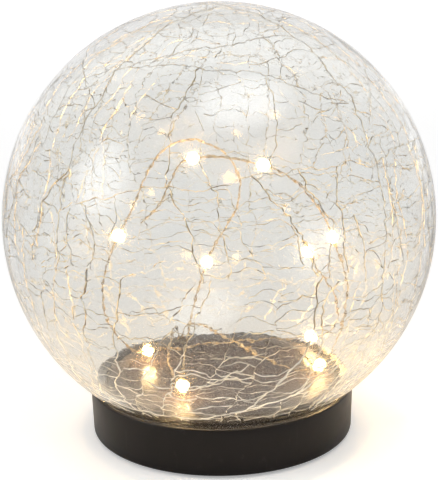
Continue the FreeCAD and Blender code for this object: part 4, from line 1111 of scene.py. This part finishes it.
steel, panelFace, solderMask, phosphor = makeSteel(), makePanel(), makeBoard(), makeChip()
cellSleeve = banded("cellSleeve", "X", [(-0.0215, -0.016, colour(0.75, 0.75, 0.72))], {
    "light": colour(0.2, 0.45, 0.3), "dark": colour(0.15, 0.36, 0.24), "rough": 0.3,
})
canSleeve = banded("canSleeve", "Z", [(0.0085, 0.0091, colour(0.05, 0.05, 0.06))], {
    "light": colour(0.72, 0.72, 0.74), "dark": colour(0.6, 0.6, 0.62), "rough": 0.28, "metal": 0.8,
})

finishes = {
    "base_housing": darkBrown, "battery_door": darkBrown, "inner_cover": coverBrown,
    "solar_panel": panelFace, "globe_gasket": blackRubber, "globe_sealant": silicone,
    "rubber_feet": blackRubber, "cover_screws": steel, "panel_pad": foamBlack,
    "string_grommet": blackRubber, "battery_holder": nylonBlack, "battery_cell": cellSleeve,
    "battery_plates": steel, "battery_spring": steel, "door_screw": steel,
    "door_seal": blackRubber, "circuit_board": solderMask, "board_screws": steel,
    "driver_chip": epoxyBlack, "boost_inductor": ferrite, "storage_capacitor": canSleeve,
    "switch_case": nylonBlack, "switch_slider": nylonWhite, "led_chips": phosphor,
    "panel_leads": redLead, "battery_leads": redLead,
}


def dressNode(name, material):
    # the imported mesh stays; a live weld and split give it clean shading
    node = cadNodes[name]
    setMaterial(node, material)
    for face in node.data.polygons:
        face.use_smooth = True
    weld = node.modifiers.new("weld", "WELD")
    weld.merge_threshold = weldReach
    split = node.modifiers.new("creases", "EDGE_SPLIT")
    split.split_angle = creaseAngle


for name, material in finishes.items():
    dressNode(name, material)
print("finishes done")


# floor, backdrop and studio lights

studio = {
    "floorSize": 12.0,
    "floor": (0.86, 0.86, 0.86),
    "floorLift": (0.34, 0.8),  # near the light and far from it
    "floorReach": (0.2, 1.5),  # where the floor counts as near and as far
    "glassLift": (0.18, 0.32),  # as floorLift, seen through the globe
    "glassReach": (0.12, 0.32),
    "glossLift": 0.6,  # what gloss shows of the floor at the back
    "glossReach": (0.1, 1.2),
    "domeLight": 0.5,
    "frontGloss": 0.33,  # the dimmer studio behind the camera, as gloss shows it
    "frontReach": (-0.9, -0.1),
    "boxes": {
        "topBox": {
            "aim": (0.168, -0.26, 0.949), "reach": 0.95, "wide": 0.95, "deep": 0.6, "power": 4.2,
        },
        "leftBox": {
            "aim": (-0.85, -0.341, 0.401), "reach": 1.0, "wide": 0.7, "deep": 0.75, "power": 3.4,
        },
    },
    "boxTarget": (0, 0, 0.08),
    "clothReach": (0.56, 0.15),  # from the middle of a box's cloth to its dark edge and its core
    "clothCore": 1.6,
}


def addFloor():
    bpy.ops.mesh.primitive_plane_add(size=studio["floorSize"], location=(0, 0, 0))
    floor = bpy.context.object
    floor.name = "floor"
    material, build = newMaterial("paleFloor")
    diffuse = build.add("ShaderNodeBsdfDiffuse", {"Color": colour(*studio["floor"])}).outputs[0]
    path = build.add("ShaderNodeLightPath").outputs
    place = build.place()
    away = build.add("ShaderNodeVectorMath", {0: place}, operation="LENGTH").outputs["Value"]
    near, far = studio["floorLift"]
    least, most = studio["glassLift"]
    nearEnd, farEnd = studio["floorReach"]
    glassNear, glassFar = studio["glassReach"]
    direct = build.math(
        "MULTIPLY", path["Is Camera Ray"], build.fit(away, nearEnd, farEnd, near, far)
    )
    behind = build.math(
        "ADD", build.fit(away, glassNear, glassFar, least, most),
        build.fit(away, glassFar, farEnd, 0.0, far - most),
    )
    through = build.math("MULTIPLY", path["Is Transmission Ray"], behind)
    mirrored = build.math(
        "MULTIPLY", path["Is Glossy Ray"],
        build.fit(build.axis(place, "Y"), *studio["glossReach"], 0.0, studio["glossLift"]),
    )
    lift = build.add("ShaderNodeEmission", {
        "Color": colour(1, 1, 1),
        "Strength": build.math("MAXIMUM", build.math("MAXIMUM", direct, through), mirrored),
    }).outputs[0]
    both = build.add("ShaderNodeAddShader", {0: diffuse, 1: lift}).outputs[0]
    build.add("ShaderNodeOutputMaterial", {"Surface": both})
    setMaterial(floor, material)


def addWorld():
    world = bpy.data.worlds.new("studio")
    scene.world = world
    world.use_nodes = True
    world.node_tree.nodes.clear()
    build = Tree(world.node_tree)
    path = build.add("ShaderNodeLightPath").outputs
    way = build.add("ShaderNodeTexCoord").outputs["Generated"]
    room = build.fit(build.axis(way, "Y"), *studio["frontReach"], studio["frontGloss"], 1.0)
    glossy = build.math("MULTIPLY", path["Is Glossy Ray"], room)
    seen = build.math("MAXIMUM", path["Is Camera Ray"], path["Is Transmission Ray"])
    lit = build.math("MULTIPLY", path["Is Diffuse Ray"], studio["domeLight"])
    strength = build.math("MAXIMUM", build.math("MAXIMUM", seen, glossy), lit)
    sky = build.add("ShaderNodeBackground", {"Color": colour(1, 1, 1), "Strength": strength})
    build.add("ShaderNodeOutputWorld", {"Surface": sky.outputs[0]})


def addBox(name, values):
    way = Vector(values["aim"]).normalized()
    target = Vector(studio["boxTarget"])
    place = target + way * values["reach"]
    bpy.ops.object.light_add(
        type="AREA", location=place, rotation=(target - place).to_track_quat("-Z", "Y").to_euler()
    )
    lamp = bpy.context.object
    lamp.name = name
    lamp.data.shape = "RECTANGLE"
    lamp.data.size = values["wide"]
    lamp.data.size_y = values["deep"]
    lamp.data.energy = values["power"]
    lamp.data.use_nodes = True
    build = Tree(lamp.data.node_tree)
    build.tree.nodes.clear()
    spot = build.add("ShaderNodeNewGeometry").outputs["Parametric"]
    aside = build.add(
        "ShaderNodeVectorMath", {0: spot, 1: (0.5, 0.5, 0)}, operation="DISTANCE"
    ).outputs["Value"]
    # brightest in the middle of its cloth
    cloth = build.fit(aside, *studio["clothReach"], 0.0, studio["clothCore"])
    shine = build.add("ShaderNodeEmission", {"Strength": cloth})
    build.add("ShaderNodeOutputLight", {"Surface": shine.outputs[0]})


addFloor()
addWorld()
for name, values in studio["boxes"].items():
    addBox(name, values)
scene.view_settings.view_transform = "Standard"
print("studio done")
